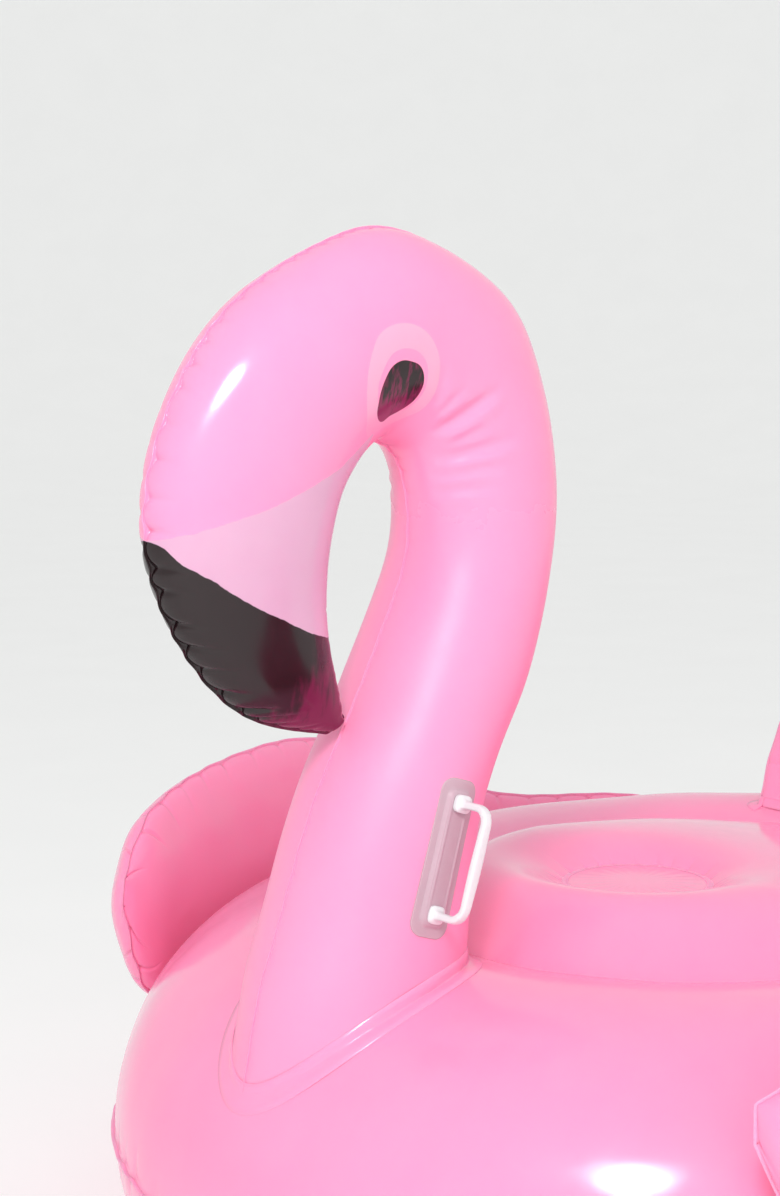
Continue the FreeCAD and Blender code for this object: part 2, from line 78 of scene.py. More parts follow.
# Stations of the neck and head, foot to beak tip: throat seam (x, z), nape seam (x, z), half the width.
NECK_STATIONS = [
    (-668, 320, -411, 330, 102), (-644, 450, -411, 404, 98), (-623, 512, -411, 481, 96),
    (-597, 585, -403, 568, 94), (-565, 660, -384, 647, 92), (-525, 733, -345, 724, 91),
    (-488, 806, -313, 803, 89), (-461, 875, -295, 884, 83), (-465, 940, -290, 960, 76),
    (-482, 972, -303, 1036, 72), (-500, 981, -355, 1125, 72), (-511, 981, -470, 1179, 74),
    (-528, 971, -554, 1169, 76), (-540, 959, -632, 1132, 76), (-551, 941, -693, 1081, 73),
    (-558, 918, -738, 1009, 66), (-564, 874, -761, 925, 56), (-565, 823, -748, 849, 44),
    (-558, 780, -710, 783, 35), (-548, 745, -649, 730, 25), (-542, 719, -562, 706, 9),
]

# Stations of a wing, front to rear: bearing round the ring in degrees, lower and upper weld, half thickness.
WING_STATIONS = [
    (45, 424, 456, 8), (47, 372, 473, 24), (50, 314, 503, 38), (54, 280, 522, 46), (61, 256, 538, 53),
    (70, 247, 549, 57), (80, 243, 550, 57), (90, 241, 518, 54), (100, 240, 464, 48), (110, 240, 430, 42),
    (120, 244, 424, 37), (129, 258, 408, 27), (135, 294, 368, 8),
]
WING_OFFSET = 256
WING_INNER_SHARE = 0.62

# Stations of the tail, foot to tip: x, height, half width, half thickness.
TAIL_STATIONS = [
    (385, 400, 245, 18), (428, 450, 262, 34), (472, 508, 275, 54), (525, 570, 270, 66), (578, 630, 242, 63),
    (632, 689, 194, 52), (681, 736, 138, 36), (723, 772, 76, 20), (755, 797, 22, 8),
]
TAIL_BOW = 75


# ---------------------------------------------------------------- numbers and grids

def spline(knots, values, at):
    """A natural cubic spline through values at the knots, read at other places."""
    knots = np.asarray(knots, float)
    values = np.asarray(values, float)
    step = np.diff(knots)
    count = len(knots)
    matrix = np.zeros((count, count))
    matrix[0, 0] = matrix[-1, -1] = 1
    right = np.zeros_like(values)
    for i in range(1, count - 1):
        matrix[i, i - 1:i + 2] = step[i - 1], 2 * (step[i - 1] + step[i]), step[i]
        right[i] = 6 * ((values[i + 1] - values[i]) / step[i] - (values[i] - values[i - 1]) / step[i - 1])
    bend = np.linalg.solve(matrix, right.reshape(count, -1)).reshape(values.shape)
    low = np.clip(np.searchsorted(knots, at, side="right") - 1, 0, count - 2)
    shape = (-1,) + (1,) * (values.ndim - 1)
    width = step[low].reshape(shape)
    share = ((at - knots[low]) / step[low]).reshape(shape)
    rest = 1 - share
    curve = (rest ** 3 - rest) * bend[low] + (share ** 3 - share) * bend[low + 1]
    return values[low] * rest + values[low + 1] * share + curve * width ** 2 / 6


def stations(table, at):
    """The columns of a station table, read at station numbers that needn't be whole."""
    return spline(np.arange(len(table)), table, at).T


def unit(vectors):
    """Vectors made one long."""
    return vectors / np.maximum(np.linalg.norm(vectors, axis=-1, keepdims=True), 1e-9)


def slopes(points, axis, closed=False):
    """Differences along an axis of a grid of points."""
    if closed:
        return (np.roll(points, -1, axis) - np.roll(points, 1, axis)) / 2
    return np.gradient(points, axis=axis)


def grid_normals(points, closed=False):
    """Unit normals of a grid of points, right-handed from rows to columns."""
    return unit(np.cross(slopes(points, 0, closed), slopes(points, 1)))


def lengths(points, axis):
    """Distance travelled along an axis of a grid of points, from its first one."""
    steps = np.linalg.norm(np.diff(points, axis=axis), axis=-1)
    travelled = np.cumsum(steps, axis=axis)
    return np.concatenate([np.zeros_like(np.take(travelled, [0], axis)), travelled], axis)


def bunched(count, strength=0.6):
    """Places from 0 to 1 that lie closer together near both ends."""
    x = np.linspace(0, 1, count)
    return x - strength * np.sin(2 * np.pi * x) / (2 * np.pi)


def smooth(low, high, x):
    """0 below low, 1 above high and a smooth step between."""
    share = np.clip((x - low) / (high - low), 0, 1)
    return share * share * (3 - 2 * share)


def unevenness(points, wavelength, seed, waves=14):
    """A soft, random rise and fall of about one, the same at the same place."""
    rng = np.random.default_rng(seed)
    total = np.zeros(points.shape[:-1])
    for _ in range(waves):
        way = unit(rng.normal(size=3)) * 2 * np.pi / (wavelength * rng.uniform(0.7, 1.6))
        total += np.sin(points @ way + rng.uniform(0, 2 * np.pi))
    return total / math.sqrt(waves)


def grid_faces(rows, columns, closed=False):
    """Quads over points numbered row by row. closed joins the last row to the first."""
    row = np.arange(rows if closed else rows - 1)[:, None]
    column = np.arange(columns - 1)
    following = (row + 1) % rows
    corners = [row * columns + column, following * columns + column,
               following * columns + column + 1, row * columns + column + 1]
    return np.stack(corners, -1).reshape(-1, 4)


class Weld:
    """The puckers along a weld: where each valley starts, how deep it is and how far it reaches."""

    def __init__(self, length, pitch, depth, reach, seed, closed=False, line=0.4):
        """pitch, depth and reach are numbers, or functions of the place along the weld."""
        rng = np.random.default_rng(seed)
        pitch, depth, reach = [item if callable(item) else (lambda place, item=item: item + 0 * place)
                               for item in (pitch, depth, reach)]
        places = [0.0]
        while places[-1] < length:
            places.append(places[-1] + float(pitch(places[-1])) * rng.uniform(0.7, 1.3))
        self.places = np.array(places) * (length / places[-1])
        count = len(places)
        self.depth = depth(self.places) * rng.uniform(0.55, 1.15, count)
        self.reach = reach(self.places) * rng.uniform(0.65, 1.2, count)
        self.line = line
        self.seed = seed
        if closed:
            self.depth[-1] = self.depth[0]
            self.reach[-1] = self.reach[0]

    def phase(self, along):
        """How many valleys lie before a place, as a number with a fraction."""
        return np.interp(along, self.places, np.arange(len(self.places)))

    def sink(self, along, away, shift=0.0):
        """How far the film is drawn in. shift moves the valleys by a share of their pitch."""
        last = len(self.places) - 1
        drift = 0.1 * away * np.sin(along / 60 + self.seed)
        phase = self.phase(np.clip(along + drift, 0, self.places[-1])) + shift
        nearest = np.clip(np.round(phase), 0, last).astype(int)
        off = np.clip(2 * np.abs(phase - nearest), 0, 1)
        pitch = np.gradient(self.places)[nearest]
        pad = (1 - off) ** 2.2
        line = np.exp(-(off * pitch / 2 / 2.6) ** 2)
        fade = np.clip(1 - away / self.reach[nearest], 0, 1) ** 1.5
        return self.depth[nearest] * fade * ((1 - self.line) * pad + self.line * line)

    def sway(self, along):
        """From -1 to 1: which way the puckers push the weld line sideways."""
        return np.cos(2 * np.pi * self.phase(along))


def fin(edge, outward, sideways, width):
    """Three columns of points for one film's half of the welded edge, from its rim to its root."""
    return [edge + outward * width, edge + outward * (width - 0.4) + sideways * WELD_HALF,
            edge + outward * 0.5 + sideways * WELD_HALF]


# ---------------------------------------------------------------- pieces

def piece(name, points, faces, materials, stands_for=(), kinds=None, turn=1, body="float", valve=None):
    """A mesh piece from points in millimetres.

    kinds gives each face's material, turn -1 flips the faces, and valve names the chamber whose valve goes
    through the piece.
    """
    mesh = bpy.data.meshes.new(name)
    mesh.from_pydata((points.reshape(-1, 3) * MM).tolist(), [], faces[:, ::turn].tolist())
    for material in materials:
        mesh.materials.append(material)
    if kinds is not None:
        mesh.polygons.foreach_set("material_index", kinds.astype(np.int32))
    join_doubles(mesh)
    if valve is not None:
        open_for_valve(mesh, valve)
    mesh.shade_smooth()
    obj = bpy.data.objects.new(name, mesh)
    bpy.context.scene.collection.objects.link(obj)
    if body is not None:
        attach(obj, body)
    if stands_for:
        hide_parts(*stands_for)
    return obj


def join_doubles(mesh):
    """Join points of a mesh that lie on each other, such as those at a pole."""
    work = bmesh.new()
    work.from_mesh(mesh)
    bmesh.ops.remove_doubles(work, verts=work.verts, dist=0.02 * MM)
    work.to_mesh(mesh)
    work.free()


def named(items, name):
    """The item with a name, from a list of the record."""
    return next(item for item in items if item["name"] == name)


def valve_axis(chamber):
    """A point on a valve's axis, in metres, and the direction in which its plug is pulled."""
    record = frame["record"]
    axis = named(record["behaviour"]["joints"], f"{chamber}_plug_pull")["axis"]
    port = named(record["mounts"], f"{chamber}_inflation_port")["pos_m"]
    return np.array(port), unit(np.array(axis, float))


def open_for_valve(mesh, chamber):
    """Cut a round hole in a film for the stem and plug of a valve. The valve's flange covers its edge."""
    port, out = [Vector(item) for item in valve_axis(chamber)]
    hole, near = VALVE_HOLE * MM, VALVE_AREA * MM

    def sideways(place):
        """The way from the valve's axis to a place, square to the axis.

        A place far up or down the axis counts as a metre away, so the chamber's other parts are left alone.
        """
        offset = place - port
        along = offset.dot(out)
        return offset - out * along if abs(along) < near else Vector((1, 0, 0))

    work = bmesh.new()
    work.from_mesh(mesh)
    around = [face for face in work.faces if sideways(face.calc_center_median()).length < near]
    edges = list({edge for face in around for edge in face.edges})
    bmesh.ops.subdivide_edges(work, edges=edges, cuts=3, use_grid_fill=True)
    inside = [face for face in work.faces if sideways(face.calc_center_median()).length < hole]
    bmesh.ops.delete(work, geom=inside, context="FACES")
    for vertex in work.verts:
        way = sideways(vertex.co)
        if way.length < near and vertex.is_boundary:
            vertex.co += way.normalized() * (hole - way.length)
    work.to_mesh(mesh)
    work.free()


def outside_ring(faces, points):
    """Which faces aren't wholly hidden inside the ring."""
    hidden = ring_depth(points) > SUNK
    return ~hidden.reshape(-1)[faces].all(1)


# ---------------------------------------------------------------- ring

def ring_normal(bearing):
    """The level direction out of the ring at bearings in radians."""
    return unit(np.stack([-np.cos(bearing) / RING_LONG, np.sin(bearing) / RING_WIDE], -1))


def ring_place(bearing, outward, height):
    """Points beside the middle line of the ring's tube."""
    middle = np.stack([RING_X - RING_LONG * np.cos(bearing), RING_WIDE * np.sin(bearing)], -1)
    level = middle + ring_normal(bearing) * np.asarray(outward)[..., None]
    return np.concatenate([level, (height + 0 * level[..., 0])[..., None]], -1)


def ring_depth(points):
    """How deep points lie inside the ring's tube."""
    flat = points.reshape(-1, 3)
    bearing = np.linspace(-np.pi, np.pi, 720)
    middle = ring_place(bearing, 0 * bearing, TUBE)[:, :2]
    depth = np.full(len(flat), -1000.0)
    low = np.flatnonzero(flat[:, 2] < 2 * TUBE + 30)
    for part in np.array_split(low, len(low) // 4000 + 1):
        away = np.linalg.norm(flat[part, None, :2] - middle, axis=2).min(1)
        depth[part] = TUBE - np.hypot(away, flat[part, 2] - TUBE)
    return depth.reshape(points.shape[:-1])


def ring_skin(upper, film, weld_film):
    """The upper or lower skin of the ring, with half of the weld round its outer edge."""
    rows = 900
    columns = 66
    side = 1 if upper else -1
    bearing = np.linspace(0, 2 * np.pi, rows, endpoint=False)
    angle = np.pi * bunched(columns, 0.45)
    flat_bearing = np.repeat(bearing[:, None], columns, 1)
    rise = side * (TUBE if upper else BELLY) * np.sin(angle)
    points = ring_place(flat_bearing, TUBE * np.cos(angle) + 0 * flat_bearing, TUBE + rise)
    edge = points[:, 0]
    along = lengths(np.concatenate([edge, edge[:1]]), 0)
    weld = Weld(along[-1], 62, 3.0, 55, seed=11, closed=True)
    along = along[:-1]
    away = lengths(points, 1)
    normal = grid_normals(points, closed=True) * -side
    sink = weld.sink(along[:, None] + 0 * away, away, shift=0 if upper else 0.5)
    sink += 0.6 * unevenness(points, 130, seed=3) * smooth(0, 60, away)
    points = points - normal * sink[..., None]
    sway = weld.sway(along)[:, None] * np.array([0, 0, 1.2])
    points = points + sway[:, None] * np.exp(-(away / 14) ** 2)[..., None]
    outward = np.pad(ring_normal(bearing), ((0, 0), (0, 1)))
    rim = fin(edge + sway, outward, np.array([0, 0, side]), 4.0)
    points = np.concatenate([np.stack(rim, 1), points], 1)
    points[..., 2] = np.maximum(points[..., 2], 0.0)
    faces = grid_faces(rows, columns + 3, closed=True)
    kinds = np.tile(np.arange(columns + 2) < 2, rows)
    name = "top" if upper else "bottom"
    return piece(f"ring_skin_{name}", points, faces, (film, weld_film), [f"ring_{name}_panel"],
                 kinds=kinds, turn=-side, valve="ring" if upper else None)


# ---------------------------------------------------------------- seat

def seat_top(film, weld_film):
    """The seat's top: a round dimple welded down to the tie band, the bolster and the crease by the ring."""
    rows = 720
    bearing = np.linspace(0, 2 * np.pi, rows, endpoint=False)
    ray = np.stack([-np.cos(bearing), np.sin(bearing)], -1)
    rearward = np.maximum(ray[:, 0], 0)
    centre = np.array([DIMPLE_X, 0])

    def ring_side(height):
        """Points just inside the ring's film, so that no gap shows along the crease."""
        reach = math.sqrt((TUBE - 2) ** 2 - (height - TUBE) ** 2)
        return ring_place(bearing, 0 * bearing - reach, height)

    def circle(radius, height):
        """Points round the dimple."""
        return np.concatenate([centre + ray * radius, (height + 0 * bearing)[:, None]], 1)

    crest_height = CREST_HEIGHT - 6 * rearward
    crest = circle(CREST_RADIUS, crest_height)
    crease = ring_side(CREASE_HEIGHT)
    shoulder = crest * 0.35 + crease * 0.65
    shoulder[:, 2] = CREASE_HEIGHT + (crest_height - CREASE_HEIGHT) * (0.50 - 0.05 * rearward)
    knots = np.stack([circle(DIMPLE_RADIUS, DIMPLE_HEIGHT), crest, shoulder, crease])
    over = spline([0, 0.34, 0.78, 1], knots, bunched(90, 0.5))
    dome = 2.5
    floor = [circle(radius, DIMPLE_HEIGHT + dome * math.cos(math.pi / 2 * radius / DIMPLE_RADIUS))
             for radius in np.linspace(0, DIMPLE_RADIUS - 7, 28)]
    band = [circle(DIMPLE_RADIUS - inset, DIMPLE_HEIGHT - 0.3) for inset in (6, 4, 2, 0.6)]
    wall = [ring_side(height) for height in np.linspace(CREASE_HEIGHT, TUBE + 4, 16)[1:]]
    points = np.concatenate([np.stack(floor + band), over, np.stack(wall)]).transpose(1, 0, 2)
    inner = len(floor) + len(band)
    outer = inner + len(over)
    columns = points.shape[1]

    around = lengths(np.concatenate([over[0], over[0, :1]]), 0)
    hem_around = lengths(np.concatenate([crease, crease[:1]]), 0)
    weld = Weld(around[-1], 21, 1.8, 34, seed=21, closed=True)
    hem = Weld(hem_around[-1], 46, 1.0, 34, seed=22, closed=True)
    away = lengths(points, 1)
    away = away - away[:, inner:inner + 1]
    from_hem = np.abs(away - away[:, outer - 1:outer])
    sink = weld.sink(around[:-1, None] + 0 * away, np.maximum(away, 0))
    radius = np.linalg.norm(points[..., :2] - centre, axis=2)
    spokes = weld.sway(around[:-1])[:, None] * smooth(12, 60, radius) * smooth(DIMPLE_RADIUS - 6, 55, radius)
    sink = np.where(away < 0, 0.12 * spokes, sink)
    sink += hem.sink(hem_around[:-1, None] + 0 * away, from_hem)
    sink += 0.9 * unevenness(points, 220, seed=5) * smooth(0, 60, away)
    sink *= smooth(0, 25, from_hem)
    normal = grid_normals(points, closed=True)
    normal[:, :2] = (0, 0, 1)
    points = points - normal * sink[..., None]
    points[:, 0] = points[:, 0].mean(0)
    kinds = np.tile((np.arange(columns - 1) >= len(floor) - 1) & (np.arange(columns - 1) < inner), rows)
    obj = piece("seat_cushion_top", points, grid_faces(rows, columns, closed=True), (film, weld_film),
                ["seat_top_panel", "seat_dimple_disc"], kinds=kinds)
    return obj


def seat_bottom(film):
    """The seat's underside, a shallow sagging bowl between the ring's inner walls."""
    rows = 360
    half_long, half_wide, sag = 245.7, 166.7, 46
    mean_radius, rim_length = 200, 1300
    turn = np.linspace(0, 2 * np.pi, rows, endpoint=False)[:, None]
    reach = np.linspace(0, 1, 60)
    points = np.stack([RING_X + half_long * np.cos(turn) * reach, half_wide * np.sin(turn) * reach,
                       TUBE - sag * np.sqrt(1 - reach ** 2) + 0 * turn], -1)
    from_rim = mean_radius * (1 - reach) + 0 * turn
    around = rim_length * turn / (2 * np.pi) + 0 * reach
    weld = Weld(rim_length, 45, 2.2, 60, seed=31, closed=True)
    points[..., 2] += weld.sink(around, from_rim) * smooth(0, 12, from_rim)
    return piece("seat_cushion_bottom", points, grid_faces(rows, len(reach), closed=True), (film,),
                 ["seat_bottom_panel"], valve="seat")


# ---------------------------------------------------------------- neck and head

# Puckers along the two seams, by station: pitch, depth and reach in millimetres.
CROWN_PUCKERS = [
    (0, 48, 0.4, 20), (8, 40, 0.5, 20), (9.5, 19, 1.3, 18), (12, 17, 1.6, 18), (13.5, 26, 2.4, 26),
    (15, 30, 3.4, 34), (15.8, 29, 4.6, 40), (16.5, 28, 7.5, 52), (19, 27, 7.0, 46), (20, 18, 2.4, 16),
]
THROAT_PUCKERS = [
    (0, 46, 0.6, 22), (7, 30, 0.8, 20), (9, 13, 1.1, 16), (13, 13, 1.1, 16), (15, 24, 1.8, 24),
    (17, 26, 3.0, 28), (19, 22, 2.4, 20), (20, 12, 1.0, 10),
]

# Soft folds behind the bend of the neck: station and angle where each starts and ends, depth and width.
# The angle runs round the section from the nape seam at 0 to the throat seam at 180 degrees.
NECK_FOLDS = [
    (9.36, 141, 9.52, 84, 3.4, 7.0), (8.46, 150, 8.60, 82, 3.0, 7.5), (8.10, 158, 8.16, 96, 1.6, 6.0),
    (7.80, 160, 7.82, 104, 1.3, 6.0), (10.05, 128, 10.70, 100, 1.5, 7.0), (9.85, 132, 9.98, 104, 1.0, 5.0),
    (8.86, 140, 8.95, 100, 0.9, 6.0),
]


def station_values(table, at):
    """The pucker figures of a table, read at station numbers."""
    table = np.array(table, float)
    return [np.interp(at, table[:, 0], table[:, column]) for column in (1, 2, 3)]


def seam_weld(seam, at, table, seed):
    """The puckers along one seam of the neck, and each row's place along it."""
    along = lengths(seam, 0)
    pitch, depth, reach = [lambda place, values=values: np.interp(place, along, values)
                           for values in station_values(table, at)]
    return Weld(along[-1], pitch, depth, reach, seed), along


def neck_seams(at):
    """The throat seam, the nape seam and half the neck's width, at station numbers."""
    throat_x, throat_z, nape_x, nape_z, half_width = stations(NECK_STATIONS, at)
    flat = np.zeros_like(at)
    return np.stack([throat_x, flat, throat_z], 1), np.stack([nape_x, flat, nape_z], 1), half_width


def neck_fold_depth(at, angle, row_step):
    """How far the folds behind the bend draw the film in."""
    total = np.zeros(np.broadcast(at, angle).shape)
    for first, start, last, end, depth, width in NECK_FOLDS:
        share = (start - angle) / (start - end)
        across = (at - first - (last - first) * share - 0.05 * np.sin(np.pi * share)) * row_step
        fade = smooth(0, 0.25, share) * smooth(1, 0.6, share)
        valley = np.exp(-(across / width) ** 2)
        bulge = 0.45 * np.exp(-((across + 1.7 * width) / width) ** 2)
        total += depth * fade * (valley - bulge)
    return total


def neck_skin(side, film):
    """One skin of the neck and head, from the ring to the tip of the beak. side is -1 for the bird's left."""
    dense = np.linspace(0.25, 20, 6000)
    travelled = [np.gradient(lengths(seam, 0)) for seam in neck_seams(dense)[:2]]
    travelled = np.cumsum(np.maximum(*travelled))
    at = np.interp(np.arange(0, travelled[-1], 2.5), travelled, dense)
    at = np.append(at, 20)
    throat, nape, half_width = neck_seams(at)

    closing = np.sin(np.linspace(0, np.pi / 2, 8))[1:]
    shrink = np.concatenate([np.ones(len(at)), np.cos(np.linspace(0, np.pi / 2, 8))[1:]])
    middle = (throat + nape) / 2
    onward = unit(middle[-1] - middle[-20])
    middle = np.concatenate([middle, middle[-1] + onward * (6 * closing)[:, None]])
    half = (nape - throat) / 2
    half = np.concatenate([half, np.repeat(half[-1:], len(closing), 0)]) * shrink[:, None]
    half_width = np.concatenate([half_width, np.repeat(half_width[-1:], len(closing))]) * shrink
    at = np.concatenate([at, np.full(len(closing), 20.0)])
    rows = len(at)
    columns = 84

    angle = np.pi * bunched(columns, 0.62)
    points = middle[:, None] + half[:, None] * np.cos(angle)[:, None]
    points[..., 1] = side * half_width[:, None] * np.sin(angle)
    nape = middle + half
    throat = middle - half
    normal = grid_normals(points) * -side
    from_nape = lengths(points, 1)
    section = from_nape[:, -1:]
    from_throat = section - from_nape
    nape_weld, along_nape = seam_weld(nape, at, CROWN_PUCKERS, seed=41)
    throat_weld, along_throat = seam_weld(throat, at, THROAT_PUCKERS, seed=42)
    shift = 0 if side < 0 else 0.5
    middle_fade = smooth(0.5, 0.38, from_nape / section)
    sink = nape_weld.sink(along_nape[:, None] + 0 * from_nape, from_nape, shift) * middle_fade
    sink += throat_weld.sink(along_throat[:, None] + 0 * from_nape, from_throat, shift) * smooth(
        0.5, 0.38, from_throat / section)
    row_step = np.linalg.norm(slopes(points, 0), axis=-1) / np.maximum(np.gradient(at), 1e-4)[:, None]
    row_step[-len(closing) - 1:] = 60
    sink += neck_fold_depth(at[:, None], np.degrees(angle)[None], row_step)
    steady = smooth(0, 40, from_nape) * smooth(0, 40, from_throat) * smooth(20, 17, at)[:, None]
    sink += 0.7 * unevenness(points, 110, seed=7) * steady
    points = points - normal * (sink * shrink[:, None])[..., None]

    sway_size = np.interp(at, [0, 9, 12, 15, 17, 20], [0.3, 0.4, 0.7, 1.2, 2.2, 0.8]) * shrink
    edges = []
    for weld, along, away in ((nape_weld, along_nape, from_nape), (throat_weld, along_throat, from_throat)):
        sway = np.zeros((rows, 3))
        sway[:, 1] = -weld.sway(along) * sway_size
        points = points + sway[:, None] * np.exp(-(away / 12) ** 2)[..., None]
        edges.append(sway)
    sideways = np.array([0, side, 0])
    width = 2.0 * np.maximum(shrink, 0.3)[:, None]
    nape_rim = fin(nape + edges[0], seam_outward(nape, half), sideways, width)
    throat_rim = fin(throat + edges[1], seam_outward(throat, -half), sideways, width)
    points = np.concatenate([np.stack(nape_rim, 1), points, np.stack(throat_rim[::-1], 1)], 1)
    faces = grid_faces(rows, columns + 6)
    faces = faces[outside_ring(faces, points)]
    name = "left" if side < 0 else "right"
    return piece(f"neck_skin_{name}", points, faces, (film,), [f"neck_head_{name}_panel"],
                 turn=-side, valve="neck" if side > 0 else None)


def seam_outward(seam, half):
    """The direction in the bird's middle plane that is square to a seam and points away from the film."""
    run = slopes(seam, 0)
    square = unit(np.stack([-run[:, 2], 0 * run[:, 0], run[:, 0]], 1))
    sign = np.sign((square * half).sum(1, keepdims=True))
    return unit(square * sign + unit(half) * 0.15)


def neck_half_width(x, z):
    """Half the neck's width where a level line across the bird meets its side, at x and z."""
    at = np.linspace(2, 7, 1200)
    throat_x, throat_z, nape_x, nape_z, half_width = stations(NECK_STATIONS, at)
    across = (x[..., None] - throat_x) * (nape_z - throat_z) - (z[..., None] - throat_z) * (nape_x - throat_x)
    nearest = np.abs(across).argmin(-1)
    span = np.hypot(nape_x - throat_x, nape_z - throat_z)[nearest]
    share = ((x - throat_x[nearest]) * (nape_x - throat_x)[nearest]
             + (z - throat_z[nearest]) * (nape_z - throat_z)[nearest]) / span ** 2
    return half_width[nearest] * np.sqrt(np.clip(1 - (2 * share - 1) ** 2, 0, 1))


def foot_strip(points):
    """The welded strip round the foot of a chamber that stands on the ring.

    points is a grid over the chamber's surface: rows rise out of the ring, columns go once round.
    """
    depth = ring_depth(points)
    inside = depth > 0
    row = np.argmax(~inside & (np.arange(len(points))[:, None] > 0), axis=0)
    row = np.clip(row, 1, len(points) - 2)
    column = np.arange(points.shape[1])
    share = depth[row - 1, column] / (depth[row - 1, column] - depth[row, column])
    line = points[row - 1, column] + (points[row, column] - points[row - 1, column]) * share[:, None]
    up = unit(points[row + 1, column] - points[row - 1, column])
    round_way = unit(slopes(line[:, None], 0, closed=True)[:, 0])
    out = np.cross(round_way, up)
    out = unit(out * np.sign((out * (line - line.mean(0))).sum(1, keepdims=True)))
    bearing = np.linspace(-np.pi, np.pi, 1440)
    middle = ring_place(bearing, 0 * bearing, TUBE)
    nearest = np.linalg.norm(line[:, None, :2] - middle[None, :, :2], axis=2).argmin(1)
    ring_up = unit(line - middle[nearest])
    away = unit(out - (out * ring_up).sum(1, keepdims=True) * ring_up)
    ruffle = 0.5 * unevenness(line, 40, seed=9)[:, None]
    columns = [line + up * 15 + out * 0.2, line + up * 14.4 + out * 1.3, line + up * 8 + out * 1.4,
               line + up * 3 + out * (1.9 + ruffle), line + (out + ring_up) * (1.6 + 0.4 * ruffle),
               line + away * 4 + ring_up * (1.9 + ruffle), line + away * 9 + ring_up * 1.3,
               line + away * 15.4 + ring_up * 0.9, line + away * 16 - ring_up * 0.4]
    strip = np.stack(columns, 1)
    faces = grid_faces(len(strip), strip.shape[1], closed=True)
    rises = np.cross(strip[1, 3] - strip[0, 3], strip[0, 4] - strip[0, 3]) @ out[0]
    return strip, faces, 1 if rises > 0 else -1


def neck_collar(film):
    """The strip that welds the foot of the neck to the ring."""
    turn = np.linspace(0, 2 * np.pi, 420, endpoint=False)
    at = np.linspace(0.25, 3.2, 300)
    throat_x, throat_z, nape_x, nape_z, half_width = [item[:, None] for item in stations(NECK_STATIONS, at)]
    points = np.stack([(throat_x + nape_x) / 2 + (nape_x - throat_x) / 2 * np.cos(turn),
                       half_width * np.sin(turn),
                       (throat_z + nape_z) / 2 + (nape_z - throat_z) / 2 * np.cos(turn)], -1)
    strip, faces, way = foot_strip(points)
    return piece("neck_base_weld_strip", strip, faces, (film,), ["neck_base_collar"], turn=way)


# ---------------------------------------------------------------- wings and tail

def lens_outline(place, last, spacing):
    """Station numbers and cross places round the edge of a flat chamber, evenly spaced."""
    dense = np.linspace(0, last, 3000)
    travelled = [np.gradient(lengths(place(dense, v + 0 * dense, 0 * dense), 0)) for v in (-1, 1)]
    travelled = np.cumsum(np.maximum(*travelled))
    u = np.interp(np.arange(0, travelled[-1], spacing), travelled, dense)
    u[-1] = last
    ends = []
    for end in (last, 0):
        corners = place(np.array([end, end]), np.array([-1, 1]), np.zeros(2))
        count = max(int(np.linalg.norm(corners[1] - corners[0]) / spacing), 4)
        ends.append((np.full(count - 1, float(end)), np.linspace(-1, 1, count + 1)[1:-1]))
    parts = [(u, -1 + 0 * u), ends[0], (u[::-1], 1 + 0 * u), (ends[1][0], ends[1][1][::-1])]
    return [np.concatenate(items) for items in zip(*parts)]


def lens_skin(name, place, last, middle_ends, lift, puckers, film, weld_film, node, sunk=False, valve=None):
    """One skin of a flat chamber that is welded all round its edge.

    place(u, v, lift) gives points: u is the station number, v runs from -1 to 1 between the long edges, and
    lift is a share of the half thickness, below 0 on the inner side. middle_ends are the stations between
    which the film's lines run straight across; beyond them they fan out. puckers gives the pitch, depth,
    reach and seed of those along the weld, and sunk leaves out what the ring hides.
    """
    edge_u, edge_v = lens_outline(place, last, 2.8)
    rows = len(edge_u)
    columns = 52
    reach = np.cos(np.pi / 2 * np.linspace(0, 1, columns) ** 1.12)
    middle_u = np.clip(edge_u, *middle_ends)[:, None]
    u = middle_u + (edge_u[:, None] - middle_u) * reach
    v = edge_v[:, None] * reach
    rounding = np.sqrt(1 - (1 - np.clip(np.minimum(u, last - u) / 0.6, 0, 1)) ** 2)
    points = place(u, v, lift * rounding * np.sqrt(np.clip(1 - v ** 2, 0, 1)))
    edge = place(edge_u, edge_v, 0 * edge_u)
    middle = place(middle_u[:, 0], 0 * edge_u, 0 * edge_u)
    across = unit(place(edge_u, edge_v, np.full(rows, 0.2 * np.sign(lift))) - edge)
    way = np.sign((grid_normals(points, closed=True)[:, columns // 2] * across).sum(1).mean())
    normal = grid_normals(points, closed=True) * way

    along = lengths(np.concatenate([edge, edge[:1]]), 0)
    pitch, depth, length, seed = puckers
    weld = Weld(along[-1], pitch, depth, length, seed, closed=True, line=0.7)
    along = along[:-1]
    away = lengths(points, 1)
    sink = weld.sink(along[:, None] + 0 * away, away, shift=0 if lift > 0 else 0.5)
    sink = np.minimum(sink, 0.5 * away[:, -1:])
    sink += 0.9 * unevenness(points, 120, seed=seed + 1) * smooth(0, 50, away)
    sink *= smooth(0, 0.25, reach)
    points = points - normal * sink[..., None]
    sway = across * (weld.sway(along) * 1.3 * (1 if lift > 0 else -1))[:, None]
    points = points + sway[:, None] * (np.exp(-(away / 14) ** 2) * smooth(0, 0.25, reach))[..., None]
    run = unit(slopes(edge[:, None], 0, closed=True)[:, 0])
    outward = unit(np.cross(run, across))
    outward *= np.sign((outward * (edge - middle)).sum(1, keepdims=True))
    rim = fin(edge + sway, outward, across, 3.0)
    points = np.concatenate([np.stack(rim, 1), points], 1)
    faces = grid_faces(rows, columns + 3, closed=True)
    kinds = np.tile(np.arange(columns + 2) < 2, rows)
    if sunk:
        shown = outside_ring(faces, points)
        faces, kinds = faces[shown], kinds[shown]
    return piece(name, points, faces, (film, weld_film), [node], kinds=kinds, turn=int(way),
                 valve=valve)


